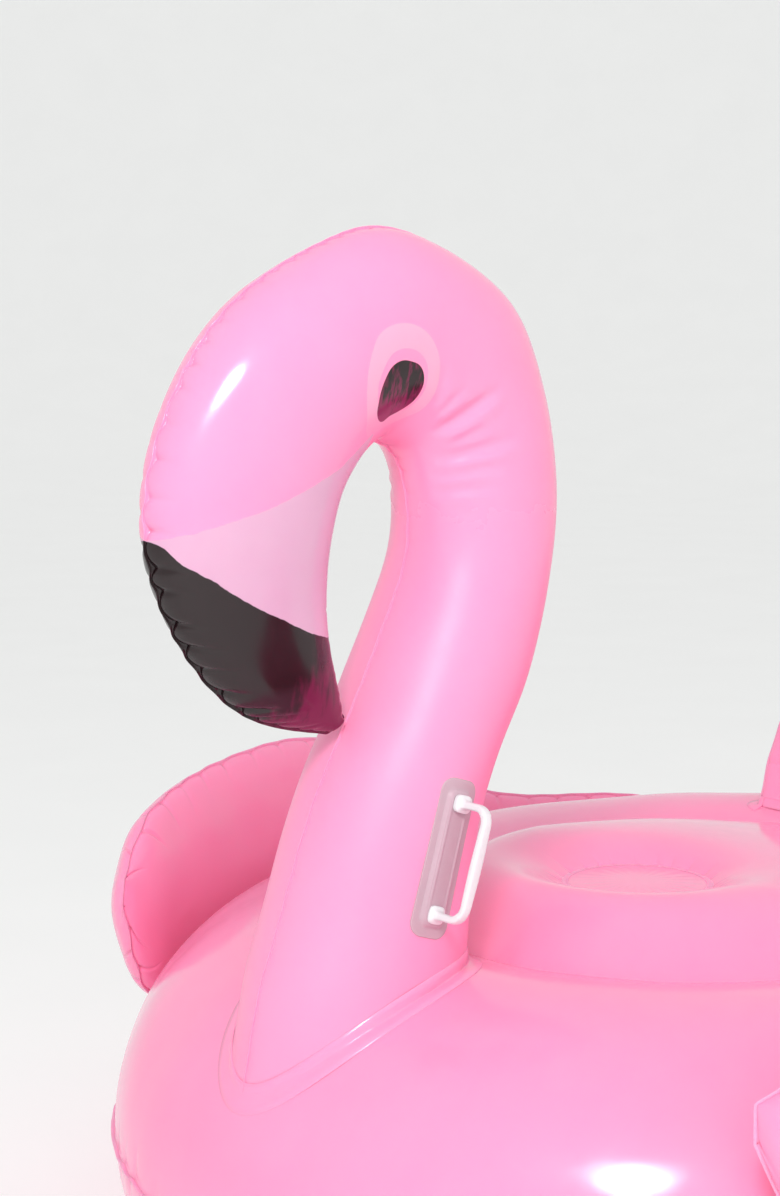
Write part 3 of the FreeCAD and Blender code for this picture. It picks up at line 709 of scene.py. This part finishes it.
def wing_surface(side, share):
    """The place function of a wing's skin. share is its thickness against the outer skin's."""
    def place(u, v, lift):
        values = stations(WING_STATIONS, np.ravel(u)).reshape((4,) + np.shape(u))
        bearing, low, high, half_thickness = values
        outward = WING_OFFSET + lift * share * half_thickness
        return ring_place(side * np.radians(bearing), outward, (low + high) / 2 + (high - low) / 2 * v)
    return place


def tail_surface(u, v, lift):
    """Points of the tail's skins: lift is above 0 on the front side."""
    x, z, half_width, half_thickness = stations(TAIL_STATIONS, np.ravel(u)).reshape((4,) + np.shape(u))
    first, last = np.array(TAIL_STATIONS[0], float), np.array(TAIL_STATIONS[-1], float)
    lean = unit((last - first)[:2])
    forward = TAIL_BOW * half_width / first[2] * v ** 2 + half_thickness * lift
    return np.stack([x - lean[1] * forward, half_width * v, z + lean[0] * forward], -1)


def wings(film, weld_film):
    """Both wings: an outer and a flatter inner skin, and the strip that joins the wing to the ring's weld."""
    for side, name in ((-1, "left"), (1, "right")):
        for part, share, lift in (("outer", 1.0, 1), ("inner", WING_INNER_SHARE, -1)):
            lens_skin(f"wing_{name}_{part}_skin", wing_surface(side, share), 12, (3.6, 10.2), lift,
                      (58, 5.2, 48, 51), film, weld_film, f"wing_{name}_{part}_panel",
                      valve=f"{name}_wing" if part == "outer" else None)
        wing_root(side, name, film)


def wing_root(side, name, film):
    """The strip between the ring's outer weld and a wing's lower weld."""
    u = np.linspace(3.2, 11.2, 300)
    bearing, low = stations(WING_STATIONS, u)[:2]
    bearing = side * np.radians(bearing)
    columns = [(238, 236.6 + 0 * low), (246, 236.9 + (low - 246) * 0.2), (254, low - 3), (256, low + 6),
               (256.8, low + 5.6), (254.8, low - 4), (246, 236 + (low - 246) * 0.2), (238, 235.4 + 0 * low)]
    points = np.stack([ring_place(bearing, outward + 0 * low, height) for outward, height in columns], 1)
    faces = grid_faces(len(u), len(columns))
    piece(f"wing_{name}_root_strip", points, faces, (film,), turn=side)


def tail(film, weld_film):
    """The tail's front and rear skins, and the strip round its foot."""
    for name, lift in (("front", 1), ("rear", -1)):
        lens_skin(f"tail_{name}_skin", tail_surface, 8, (0.5, 6.3), lift, (60, 4.6, 50, 61), film, weld_film,
                  f"tail_{name}_panel", sunk=True, valve="tail" if name == "rear" else None)
    turn = np.linspace(0, 2 * np.pi, 720, endpoint=False)
    at = np.linspace(0, 3.5, 300)[:, None]
    points = tail_surface(at + 0 * turn, np.cos(turn) + 0 * at, np.sin(turn) + 0 * at)
    strip, faces, way = foot_strip(points)
    piece("tail_base_weld_strip", strip, faces, (film,), turn=way)


# ---------------------------------------------------------------- handles

HANDLE_CENTRE = np.array([-491.0, 590.0])
HANDLE_ALONG = np.array([0.31, 0.95]) / math.hypot(0.31, 0.95)
HANDLE_ACROSS = np.array([0.95, -0.31]) / math.hypot(0.31, 0.95)
BASE_SIZE = (153, 46, 14)
PLATFORM_SIZE = (130, 28, 8)


def rounded_rectangle(length, width, corner, spacing):
    """Evenly spaced points round a rectangle with rounded corners."""
    outline = []
    for turn, x, y in ((0, 1, 1), (90, -1, 1), (180, -1, -1), (270, 1, -1)):
        angle = np.radians(turn + np.linspace(0, 90, 40))
        outline.append(np.stack([x * (length / 2 - corner) + corner * np.cos(angle),
                                 y * (width / 2 - corner) + corner * np.sin(angle)], 1))
    outline = np.concatenate(outline + [outline[0][:1]])
    travelled = lengths(outline, 0)
    places = np.linspace(0, travelled[-1], int(travelled[-1] / spacing), endpoint=False)
    return np.stack([np.interp(places, travelled, outline[:, i]) for i in (0, 1)], 1)


def beyond_rectangle(points, length, width, corner):
    """Distance outside a rounded rectangle, below 0 inside."""
    over = np.abs(points) - (np.array([length, width]) / 2 - corner)
    return np.linalg.norm(np.maximum(over, 0), axis=-1) + np.minimum(over.max(-1), 0) - corner


def on_neck(side, flat, lift):
    """Points on the neck's side, from places along and across the handle and heights above the film."""
    place = HANDLE_CENTRE + flat[..., :1] * HANDLE_ALONG + flat[..., 1:] * HANDLE_ACROSS
    out = neck_half_width(place[..., 0], place[..., 1]) + lift
    return np.stack([place[..., 0], side * out, place[..., 1]], -1)


def handle_base(side, name, plate):
    """The frosted base sheet of a handle with its raised platform."""
    outline = rounded_rectangle(*BASE_SIZE, spacing=1.6)
    reach = np.concatenate([np.linspace(0, 0.985, 64), [0.997, 1.0, 1.0]])
    flat = outline[:, None] * reach[:, None]
    beyond = beyond_rectangle(flat, *PLATFORM_SIZE)
    lift = 1.5 + 3.3 * smooth(2.2, -1.4, beyond) + 0.7 * smooth(-1.5, -3.5, beyond) * smooth(-6.5, -4, beyond)
    lift[:, -3:] = (1.2, 0.5, -1.0)
    points = on_neck(side, flat, lift)
    return piece(f"handle_{name}_base_plate", points, grid_faces(*points.shape[:2], closed=True), (plate,),
                 [f"handle_{name}_base"], turn=-side)


def sweep(path, wide_way, half_wide, half_deep, power=3.4, sides=36):
    """A grid of points round a bar with a soft rectangular section that follows a path."""
    run = unit(slopes(path, 0))
    wide = unit(wide_way - run * (run @ wide_way)[:, None])
    deep = np.cross(run, wide)
    turn = np.linspace(0, 2 * np.pi, sides, endpoint=False)
    x = np.sign(np.cos(turn)) * np.abs(np.cos(turn)) ** (2 / power)
    y = np.sign(np.sin(turn)) * np.abs(np.sin(turn)) ** (2 / power)
    half_wide, half_deep = [np.reshape(item + np.zeros(len(path)), (-1, 1, 1))
                            for item in (half_wide, half_deep)]
    return path[:, None] + wide[:, None] * x[:, None] * half_wide + deep[:, None] * y[:, None] * half_deep


def handle_grip(side, name, plastic):
    """The moulded grip: a bar bent through two quarter turns on two flared feet."""
    half, corner, top, foot = 53.5, 15.0, 38.5, -1.5
    quarter = np.linspace(0, np.pi / 2, 24)[1:-1]
    leg = np.concatenate([np.linspace(foot, 9, 22), np.linspace(10, top - corner, 14)])
    bend_along = -half + corner * (1 - np.cos(quarter))
    bend_rise = top - corner + corner * np.sin(quarter)
    bar = np.linspace(-half + corner, half - corner, 40)
    along = np.concatenate([-half + 0 * leg, bend_along, bar, -bend_along[::-1], half + 0 * leg])
    rise = np.concatenate([leg, bend_rise, top + 0 * bar, bend_rise[::-1], leg[::-1]])
    surface = 99.3
    place = HANDLE_CENTRE + along[:, None] * HANDLE_ALONG
    path = np.stack([place[:, 0], side * (surface + rise), place[:, 1]], 1)
    flare = smooth(5.5, 2.0, rise) * 0.75 + smooth(10, 4, rise) * 0.25
    waist = 0.5 * np.cos(np.pi * np.clip(along / half, -1, 1)) * (rise > top - 3)
    wide_way = np.array([HANDLE_ACROSS[0], 0, HANDLE_ACROSS[1]])
    points = sweep(path, wide_way, 5.4 + 4.2 * flare + waist, 3.7 + 5.0 * flare + 0.4 * waist)
    faces = grid_faces(points.shape[1], points.shape[0], closed=True)
    return piece(f"handle_{name}_grip_bar", points.transpose(1, 0, 2), faces, (plastic,),
                 [f"handle_{name}_grip"], turn=side)


# ---------------------------------------------------------------- valves

def valve_strap(chamber, soft_plastic):
    """The tether between a valve's stem and its plug."""
    port, out = valve_axis(chamber)
    middle = [np.mean([vertex.co for vertex in frame["nodes"][f"valve_{chamber}_{part}"].data.vertices], 0)
              for part in ("plug", "strap")]
    aside = middle[1] - middle[0]
    aside = unit(aside - out * (aside @ out))
    turn = np.linspace(-np.pi / 2, np.pi / 2, 15)
    # the tether's line, as distances from the valve's axis and along it
    flat = np.concatenate([np.stack([np.linspace(9.6, 13.6, 5), np.full(5, -1.0)], 1),
                           np.stack([14 + 1.4 * np.cos(turn), 0.4 + 1.4 * np.sin(turn)], 1),
                           np.stack([np.linspace(13.6, 8.2, 6), np.full(6, 1.8)], 1)])
    path = port / MM + aside * flat[:, :1] + out * flat[:, 1:]
    points = sweep(path, np.cross(out, aside), 2.4, 0.42, power=5, sides=20)
    points = points.transpose(1, 0, 2)
    faces = grid_faces(*points.shape[:2], closed=True)
    obj = piece(f"valve_{chamber}_tether", points, faces, (soft_plastic,),
                [f"valve_{chamber}_strap"], body=None)
    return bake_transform(obj)


# ---------------------------------------------------------------- materials

def srgb(red, green, blue):
    """A display colour out of 255 as linear light, with full alpha."""
    shares = [channel / 255 for channel in (red, green, blue)]
    return tuple(c / 12.92 if c <= 0.04045 else ((c + 0.055) / 1.055) ** 2.4 for c in shares) + (1.0,)


def add(tree, kind, inputs=(), **settings):
    """Add a node. inputs maps its sockets to values or to other nodes' outputs."""
    node = tree.nodes.new("ShaderNode" + kind)
    for key, value in settings.items():
        setattr(node, key, value)
    for key, value in dict(inputs).items():
        if isinstance(value, bpy.types.NodeSocket):
            tree.links.new(value, node.inputs[key])
        else:
            node.inputs[key].default_value = value
    return node.outputs


def calc(tree, operation, first, second=0.0, clamp=False):
    """The result of one sum."""
    return add(tree, "Math", {0: first, 1: second}, operation=operation, use_clamp=clamp)[0]


def mix(tree, share, first, second):
    """A colour between two, by share."""
    return add(tree, "Mix", {0: share, 6: first, 7: second}, data_type="RGBA")[2]


def noise(tree, place, scale, detail=3.0, roughness=0.5, stretch=None):
    """Noise from 0 to 1. scale is in waves a metre, and stretch scales each axis first."""
    if stretch is not None:
        place = add(tree, "Mapping", {"Vector": place, "Scale": stretch})[0]
    inputs = {"Vector": place, "Scale": scale, "Detail": detail, "Roughness": roughness}
    return add(tree, "TexNoise", inputs)[0]


def between(tree, value, low, high, start=0.0, stop=1.0):
    """A value moved from one range to another, held at its ends."""
    return add(tree, "MapRange", {"Value": value, "From Min": low, "From Max": high, "To Min": start,
                                  "To Max": stop}, interpolation_type="SMOOTHSTEP")[0]


def curve(tree, value, pairs, ranges):
    """A smooth curve through pairs of input and output. ranges is (lowest, highest) of each."""
    (low, high), (least, most) = ranges
    node = tree.nodes.new("ShaderNodeFloatCurve")
    tree.links.new(calc(tree, "DIVIDE", calc(tree, "SUBTRACT", value, low), high - low), node.inputs["Value"])
    line = node.mapping.curves[0]
    scaled = [((x - low) / (high - low), (y - least) / (most - least)) for x, y in pairs]
    line.points[0].location, line.points[1].location = scaled[0], scaled[-1]
    for x, y in scaled[1:-1]:
        line.points.new(x, y)
    node.mapping.update()
    return calc(tree, "ADD", calc(tree, "MULTIPLY", node.outputs[0], most - least), least)


def film_material(name, colour, paint=None, roughness=0.14, soft=0.22, grain=1.0):
    """Glossy soft vinyl film: faint mottling, drawn streaks and fine ripples.

    paint may print over the film's colour and change its gloss.
    """
    made = bpy.data.materials.new(name)
    made.use_nodes = True
    tree = made.node_tree
    shader = tree.nodes["Principled BSDF"]
    place = add(tree, "TexCoord")["Object"]
    axes = add(tree, "SeparateXYZ", {0: place})
    mottle = noise(tree, place, 5, detail=3)
    streak = noise(tree, place, 24, detail=2, stretch=(1, 1, 0.2))
    tone = calc(tree, "ADD", calc(tree, "MULTIPLY", mottle, 0.75), calc(tree, "MULTIPLY", streak, 0.25))
    deep = tuple(channel * share for channel, share in zip(colour, (0.99, 0.95, 0.975))) + (1.0,)
    light = tuple(min(channel * share, 1.0) for channel, share in zip(colour, (1.0, 1.04, 1.02))) + (1.0,)
    base = mix(tree, between(tree, tone, 0.25, 0.75), deep, light)
    gloss = between(tree, noise(tree, place, 40, detail=3), 0.25, 0.75, roughness - 0.02, roughness + 0.03)
    if paint is not None:
        base, gloss = paint(tree, place, axes, base, gloss)
    tree.links.new(base, shader.inputs["Base Color"])
    tree.links.new(gloss, shader.inputs["Roughness"])
    shader.inputs["Subsurface Weight"].default_value = soft
    shader.inputs["Subsurface Radius"].default_value = (1.0, 0.35, 0.6)
    shader.inputs["Subsurface Scale"].default_value = 0.012
    shader.inputs["IOR"].default_value = 1.45
    shader.inputs["Coat Weight"].default_value = 0.2
    shader.inputs["Coat Roughness"].default_value = 0.42
    height = calc(tree, "MULTIPLY", noise(tree, place, 900, detail=2), 0.04 * grain)
    ripple = calc(tree, "MULTIPLY", noise(tree, place, 45, detail=2), 0.4 * grain)
    height = calc(tree, "ADD", height, ripple)
    bump = add(tree, "Bump", {"Strength": 0.22, "Distance": 0.0005, "Height": height})[0]
    tree.links.new(bump, shader.inputs["Normal"])
    return made


def weld_material(name, colour):
    """The film where two layers are welded: paler, thinner and pressed with fine cross ribs."""
    made = film_material(name, colour, roughness=0.32, soft=0.4)
    tree = made.node_tree
    place = add(tree, "TexCoord")["Object"]
    ribs = add(tree, "TexWave", {"Vector": place, "Scale": 160.0, "Distortion": 1.5, "Detail": 1.0},
               bands_direction="DIAGONAL")["Fac"]
    old = next(node for node in tree.nodes if node.bl_idname == "ShaderNodeBump")
    ribbed = add(tree, "Bump", {"Strength": 0.5, "Distance": 0.0004, "Height": ribs,
                                "Normal": old.outputs[0]})[0]
    tree.links.new(ribbed, tree.nodes["Principled BSDF"].inputs["Normal"])
    return made


# Printed areas of the head, in metres: edges of the pale and the dark zone of the beak (height over x), and
# the outlines of the eye as (angle in turns, radius) round its middle.
PALE_EDGE = [(-0.775, 0.901), (-0.762, 0.9012), (-0.747, 0.905), (-0.729, 0.9095), (-0.692, 0.921),
             (-0.656, 0.932), (-0.611, 0.951), (-0.588, 0.961), (-0.573, 0.972), (-0.545, 0.992)]
DARK_EDGE = [(-0.775, 0.902), (-0.762, 0.901), (-0.757, 0.898), (-0.743, 0.882), (-0.716, 0.865),
             (-0.680, 0.843), (-0.643, 0.825), (-0.608, 0.810), (-0.567, 0.799), (-0.545, 0.796)]
EYE_MIDDLE = (-0.522, 1.031)
EYE_DARK = [
    (0.0, 0.0262), (0.06, 0.0279), (0.14, 0.0284), (0.21, 0.0269), (0.28, 0.0275), (0.355, 0.0278),
    (0.447, 0.0275), (0.547, 0.0313), (0.622, 0.0362), (0.655, 0.0352), (0.717, 0.0245), (0.79, 0.0212),
    (0.853, 0.0214), (0.93, 0.0238), (1.0, 0.0262),
]
EYE_INNER = [
    (0.0, 0.0300), (0.06, 0.0320), (0.11, 0.0350), (0.18, 0.0372), (0.245, 0.0380), (0.325, 0.0376),
    (0.402, 0.0344), (0.475, 0.0337), (0.56, 0.0330), (0.622, 0.0345), (0.70, 0.0262), (0.78, 0.0212),
    (0.86, 0.0240), (0.93, 0.0270), (1.0, 0.0300),
]
EYE_OUTER = [
    (0.0, 0.0435), (0.077, 0.0480), (0.13, 0.0528), (0.19, 0.0582), (0.255, 0.0611), (0.325, 0.0610),
    (0.39, 0.0545), (0.442, 0.0503), (0.507, 0.0475), (0.578, 0.0484), (0.645, 0.0540), (0.69, 0.0400),
    (0.73, 0.0340), (0.78, 0.0318), (0.85, 0.0330), (0.91, 0.0385), (1.0, 0.0435),
]


def head_print(tree, place, axes, base, gloss):
    """The eye and the beak printed on the head: a pale zone, a dark see-through tip and a ringed eye."""
    x, z = axes[0], axes[2]
    wander = calc(tree, "MULTIPLY", calc(tree, "SUBTRACT", noise(tree, place, 60, detail=2), 0.5), 0.004)
    height = calc(tree, "ADD", z, wander)
    soft_edge = 0.0005
    spans = ((-0.775, -0.545), (0.79, 1.0))
    beak_end = between(tree, z, 0.78, 0.80, -0.536, -0.5445)
    on_beak = between(tree, calc(tree, "SUBTRACT", beak_end, x), 0.0, 0.001)

    def under(edge):
        """1 below an edge of a printed zone, 0 above it."""
        drop = calc(tree, "SUBTRACT", curve(tree, x, edge, spans), height)
        return between(tree, drop, -soft_edge, soft_edge)

    pale = under(PALE_EDGE)
    dark = under(DARK_EDGE)
    above_neck = between(tree, calc(tree, "SUBTRACT", z, calc(tree, "MULTIPLY", x, 1.25)), 1.388, 1.390)
    beak = calc(tree, "MULTIPLY", above_neck, on_beak)

    dx = calc(tree, "SUBTRACT", x, EYE_MIDDLE[0])
    dz = calc(tree, "SUBTRACT", z, EYE_MIDDLE[1])
    angle = calc(tree, "DIVIDE", calc(tree, "ARCTAN2", dz, dx), 2 * math.pi)
    angle = calc(tree, "FRACT", calc(tree, "ADD", angle, 1.0))
    squares = [calc(tree, "MULTIPLY", way, way) for way in (dx, dz)]
    radius = calc(tree, "SQRT", calc(tree, "ADD", *squares))

    def eye_zone(outline, edge):
        """1 inside an outline round the eye's middle, 0 outside."""
        limit = curve(tree, angle, outline, ((0, 1), (0, 0.08)))
        return between(tree, calc(tree, "SUBTRACT", limit, radius), -edge, edge)

    ring = calc(tree, "SUBTRACT", eye_zone(EYE_OUTER, 0.0008), eye_zone(EYE_INNER, 0.0006), clamp=True)
    ring_fade = between(tree, z, 0.985, 1.03, 0.25, 0.85)
    pupil = eye_zone(EYE_DARK, 0.0004)

    pale_colour = mix(tree, noise(tree, place, 14, detail=3), srgb(202, 154, 182), srgb(212, 168, 194))
    ring_colour = srgb(218, 164, 190)
    folds = noise(tree, place, 46, detail=3, roughness=0.6, stretch=(1.6, 1.0, 0.45))
    to_tip = between(tree, calc(tree, "SUBTRACT", calc(tree, "MULTIPLY", x, 0.8), z), -1.30, -1.16)
    folded = calc(tree, "MULTIPLY", folds, 0.8)
    sheer = between(tree, calc(tree, "ADD", folded, calc(tree, "MULTIPLY", to_tip, 0.55)), 0.56, 0.86)
    ink = mix(tree, sheer, srgb(26, 8, 12), srgb(104, 4, 54))
    low_eye = between(tree, z, 1.045, 1.0, 0.0, 0.35)
    streaks = noise(tree, place, 150, detail=3, roughness=0.65, stretch=(1.0, 0.3, 0.28))
    eye_sheer = between(tree, calc(tree, "ADD", streaks, low_eye), 0.52, 0.78)
    eye_ink = mix(tree, eye_sheer, srgb(26, 8, 12), srgb(124, 6, 68))

    base = mix(tree, calc(tree, "MULTIPLY", pale, beak), base, pale_colour)
    base = mix(tree, calc(tree, "MULTIPLY", dark, beak), base, ink)
    base = mix(tree, calc(tree, "MULTIPLY", ring, ring_fade), base, ring_colour)
    base = mix(tree, pupil, base, eye_ink)
    slack = calc(tree, "MULTIPLY", between(tree, z, 0.78, 1.03, 0.27, 0.0), calc(tree, "SUBTRACT", 1.0, beak))
    return base, calc(tree, "ADD", gloss, slack)


def moulded_material(name, colour, roughness, soft, grain):
    """Satin moulded plastic: a fine spark-eroded grain, faint flow marks and slightly dulled patches."""
    made = bpy.data.materials.new(name)
    made.use_nodes = True
    tree = made.node_tree
    shader = tree.nodes["Principled BSDF"]
    place = add(tree, "TexCoord")["Object"]
    flow = noise(tree, place, 26, detail=4, stretch=(1, 1, 0.4))
    base = mix(tree, between(tree, flow, 0.3, 0.7), tuple(c * 0.93 for c in colour[:3]) + (1.0,), colour)
    tree.links.new(base, shader.inputs["Base Color"])
    gloss = between(tree, noise(tree, place, 90, detail=4), 0.3, 0.7, roughness - 0.06, roughness + 0.08)
    tree.links.new(gloss, shader.inputs["Roughness"])
    shader.inputs["Subsurface Weight"].default_value = soft
    shader.inputs["Subsurface Radius"].default_value = (1.0, 0.8, 0.9)
    shader.inputs["Subsurface Scale"].default_value = 0.004
    pits = add(tree, "TexVoronoi", {"Vector": place, "Scale": 1400.0})["Distance"]
    bump = add(tree, "Bump", {"Strength": 0.25 * grain, "Distance": 0.0002, "Height": pits})[0]
    wave = add(tree, "Bump", {"Strength": 0.2, "Distance": 0.0006, "Height": noise(tree, place, 45),
                              "Normal": bump})[0]
    tree.links.new(wave, shader.inputs["Normal"])
    return made


def studio_material():
    """A pale matt studio surface with a trace of mottling."""
    made = bpy.data.materials.new("studio_paper")
    made.use_nodes = True
    tree = made.node_tree
    shader = tree.nodes["Principled BSDF"]
    place = add(tree, "TexCoord")["Object"]
    base = mix(tree, noise(tree, place, 3, detail=2), srgb(222, 223, 222), srgb(226, 227, 226))
    tree.links.new(base, shader.inputs["Base Color"])
    shader.inputs["Roughness"].default_value = 0.9
    shader.inputs["Specular IOR Level"].default_value = 0.1
    shader.inputs["Emission Color"].default_value = (1.0, 1.0, 1.0, 1.0)
    shader.inputs["Emission Strength"].default_value = 0.22
    return made


# ---------------------------------------------------------------- studio

def studio():
    """A round floor that curves up into a backdrop on every side, a key light, fill lights and a pale sky."""
    flat_radius, rise, below_float = 11000, 7000, 0.5
    bend = np.linspace(0, np.pi / 2, 24)[1:]
    radii = np.concatenate([np.linspace(0, flat_radius, 12), flat_radius + rise * np.sin(bend)])
    heights = np.concatenate([np.zeros(12), rise * (1 - np.cos(bend))])
    turn = np.linspace(0, 2 * np.pi, 96, endpoint=False)[:, None]
    points = np.stack([radii * np.cos(turn), radii * np.sin(turn), heights + 0 * turn - below_float], -1)
    faces = grid_faces(len(turn), len(radii), closed=True)
    mesh = bpy.data.meshes.new("studio_floor")
    mesh.from_pydata((points.reshape(-1, 3) * MM).tolist(), [], faces.tolist())
    join_doubles(mesh)
    mesh.shade_smooth()
    mesh.materials.append(studio_material())
    floor = bpy.data.objects.new("studio_floor", mesh)
    bpy.context.scene.collection.objects.link(floor)

    world = bpy.data.worlds.new("studio_sky")
    world.use_nodes = True
    sky = world.node_tree.nodes["Background"]
    sky.inputs["Color"].default_value = (1.0, 1.0, 1.0, 1.0)
    sky.inputs["Strength"].default_value = 0.76
    bpy.context.scene.world = world
    head = Vector((-0.70, -0.04, 1.03))
    lamp("key", head + Vector((-0.565, -0.600, 0.567)) * 2.6, head, 0.75, 46, "DISK")
    lamp("front", Vector((-3.4, -3.2, 1.9)), Vector((0, 0, 0.5)), 3.0, 34, "SQUARE", mirrored=False)
    lamp("side", Vector((-0.6, -4.6, 1.8)), Vector((-0.1, 0, 0.5)), 2.5, 30, "SQUARE", mirrored=False)


def lamp(name, place, target, width, power, shape, mirrored=True):
    """An area light that looks at a point. mirrored says whether glossy film shows its reflection."""
    data = bpy.data.lights.new(name, "AREA")
    data.shape = shape
    data.size = width
    data.energy = power
    light = bpy.data.objects.new(name, data)
    light.location = place
    light.visible_camera = False
    light.visible_glossy = mirrored
    light.rotation_euler = (target - place).to_track_quat("-Z", "Y").to_euler()
    bpy.context.scene.collection.objects.link(light)


def camera():
    """The view from the front left, a little above the seat."""
    forward = Vector((0.62476, 0.77152, -0.12014)).normalized()
    right = forward.cross(Vector((0, 0, 1))).normalized()
    up = right.cross(forward)
    data = bpy.data.cameras.new("camera")
    data.sensor_width = 36
    data.lens = 66.2
    data.clip_end = 200
    made = bpy.data.objects.new("camera", data)
    made.matrix_world = Matrix((right, up, -forward)).transposed().to_4x4()
    made.location = (-1.8112, -1.6414, 1.0840)
    bpy.context.scene.collection.objects.link(made)
    bpy.context.scene.camera = made


# ---------------------------------------------------------------- the float

PINK = srgb(252, 146, 186)
PINK_WELD = srgb(252, 160, 198)
FROSTED = srgb(190, 160, 172)
WHITE = srgb(222, 221, 224)

bpy.context.scene.view_settings.view_transform = "Standard"
studio()
camera()

pink_film = film_material("pink_film", PINK[:3])
pink_weld = weld_material("pink_weld", PINK_WELD[:3])
head_film = film_material("printed_head_film", PINK[:3], paint=head_print)
inner_film = film_material("inner_film", srgb(244, 230, 236)[:3], roughness=0.4)
base_plastic = moulded_material("frosted_base_vinyl", FROSTED, 0.42, 0.35, 0.6)
grip_plastic = moulded_material("white_grip_plastic", WHITE, 0.38, 0.15, 1.0)
valve_vinyl = moulded_material("soft_valve_vinyl", srgb(240, 226, 234), 0.30, 0.4, 0.3)

for upper in (True, False):
    ring_skin(upper, pink_film, pink_weld)
seat_top(pink_film, pink_weld)
seat_bottom(pink_film)
for side in (-1, 1):
    neck_skin(side, head_film)
neck_collar(pink_film)
wings(pink_film, pink_weld)
tail(pink_film, pink_weld)
for side, name in ((-1, "left"), (1, "right")):
    handle_base(side, name, base_plastic)
    handle_grip(side, name, grip_plastic)
for chamber in CHAMBERS:
    valve_strap(chamber, valve_vinyl)
    for part in ("flange", "stem", "plug", "check_flap"):
        frame["nodes"][f"valve_{chamber}_{part}"].data.materials[0] = valve_vinyl
frame["nodes"]["seat_tie_band"].data.materials[0] = inner_film
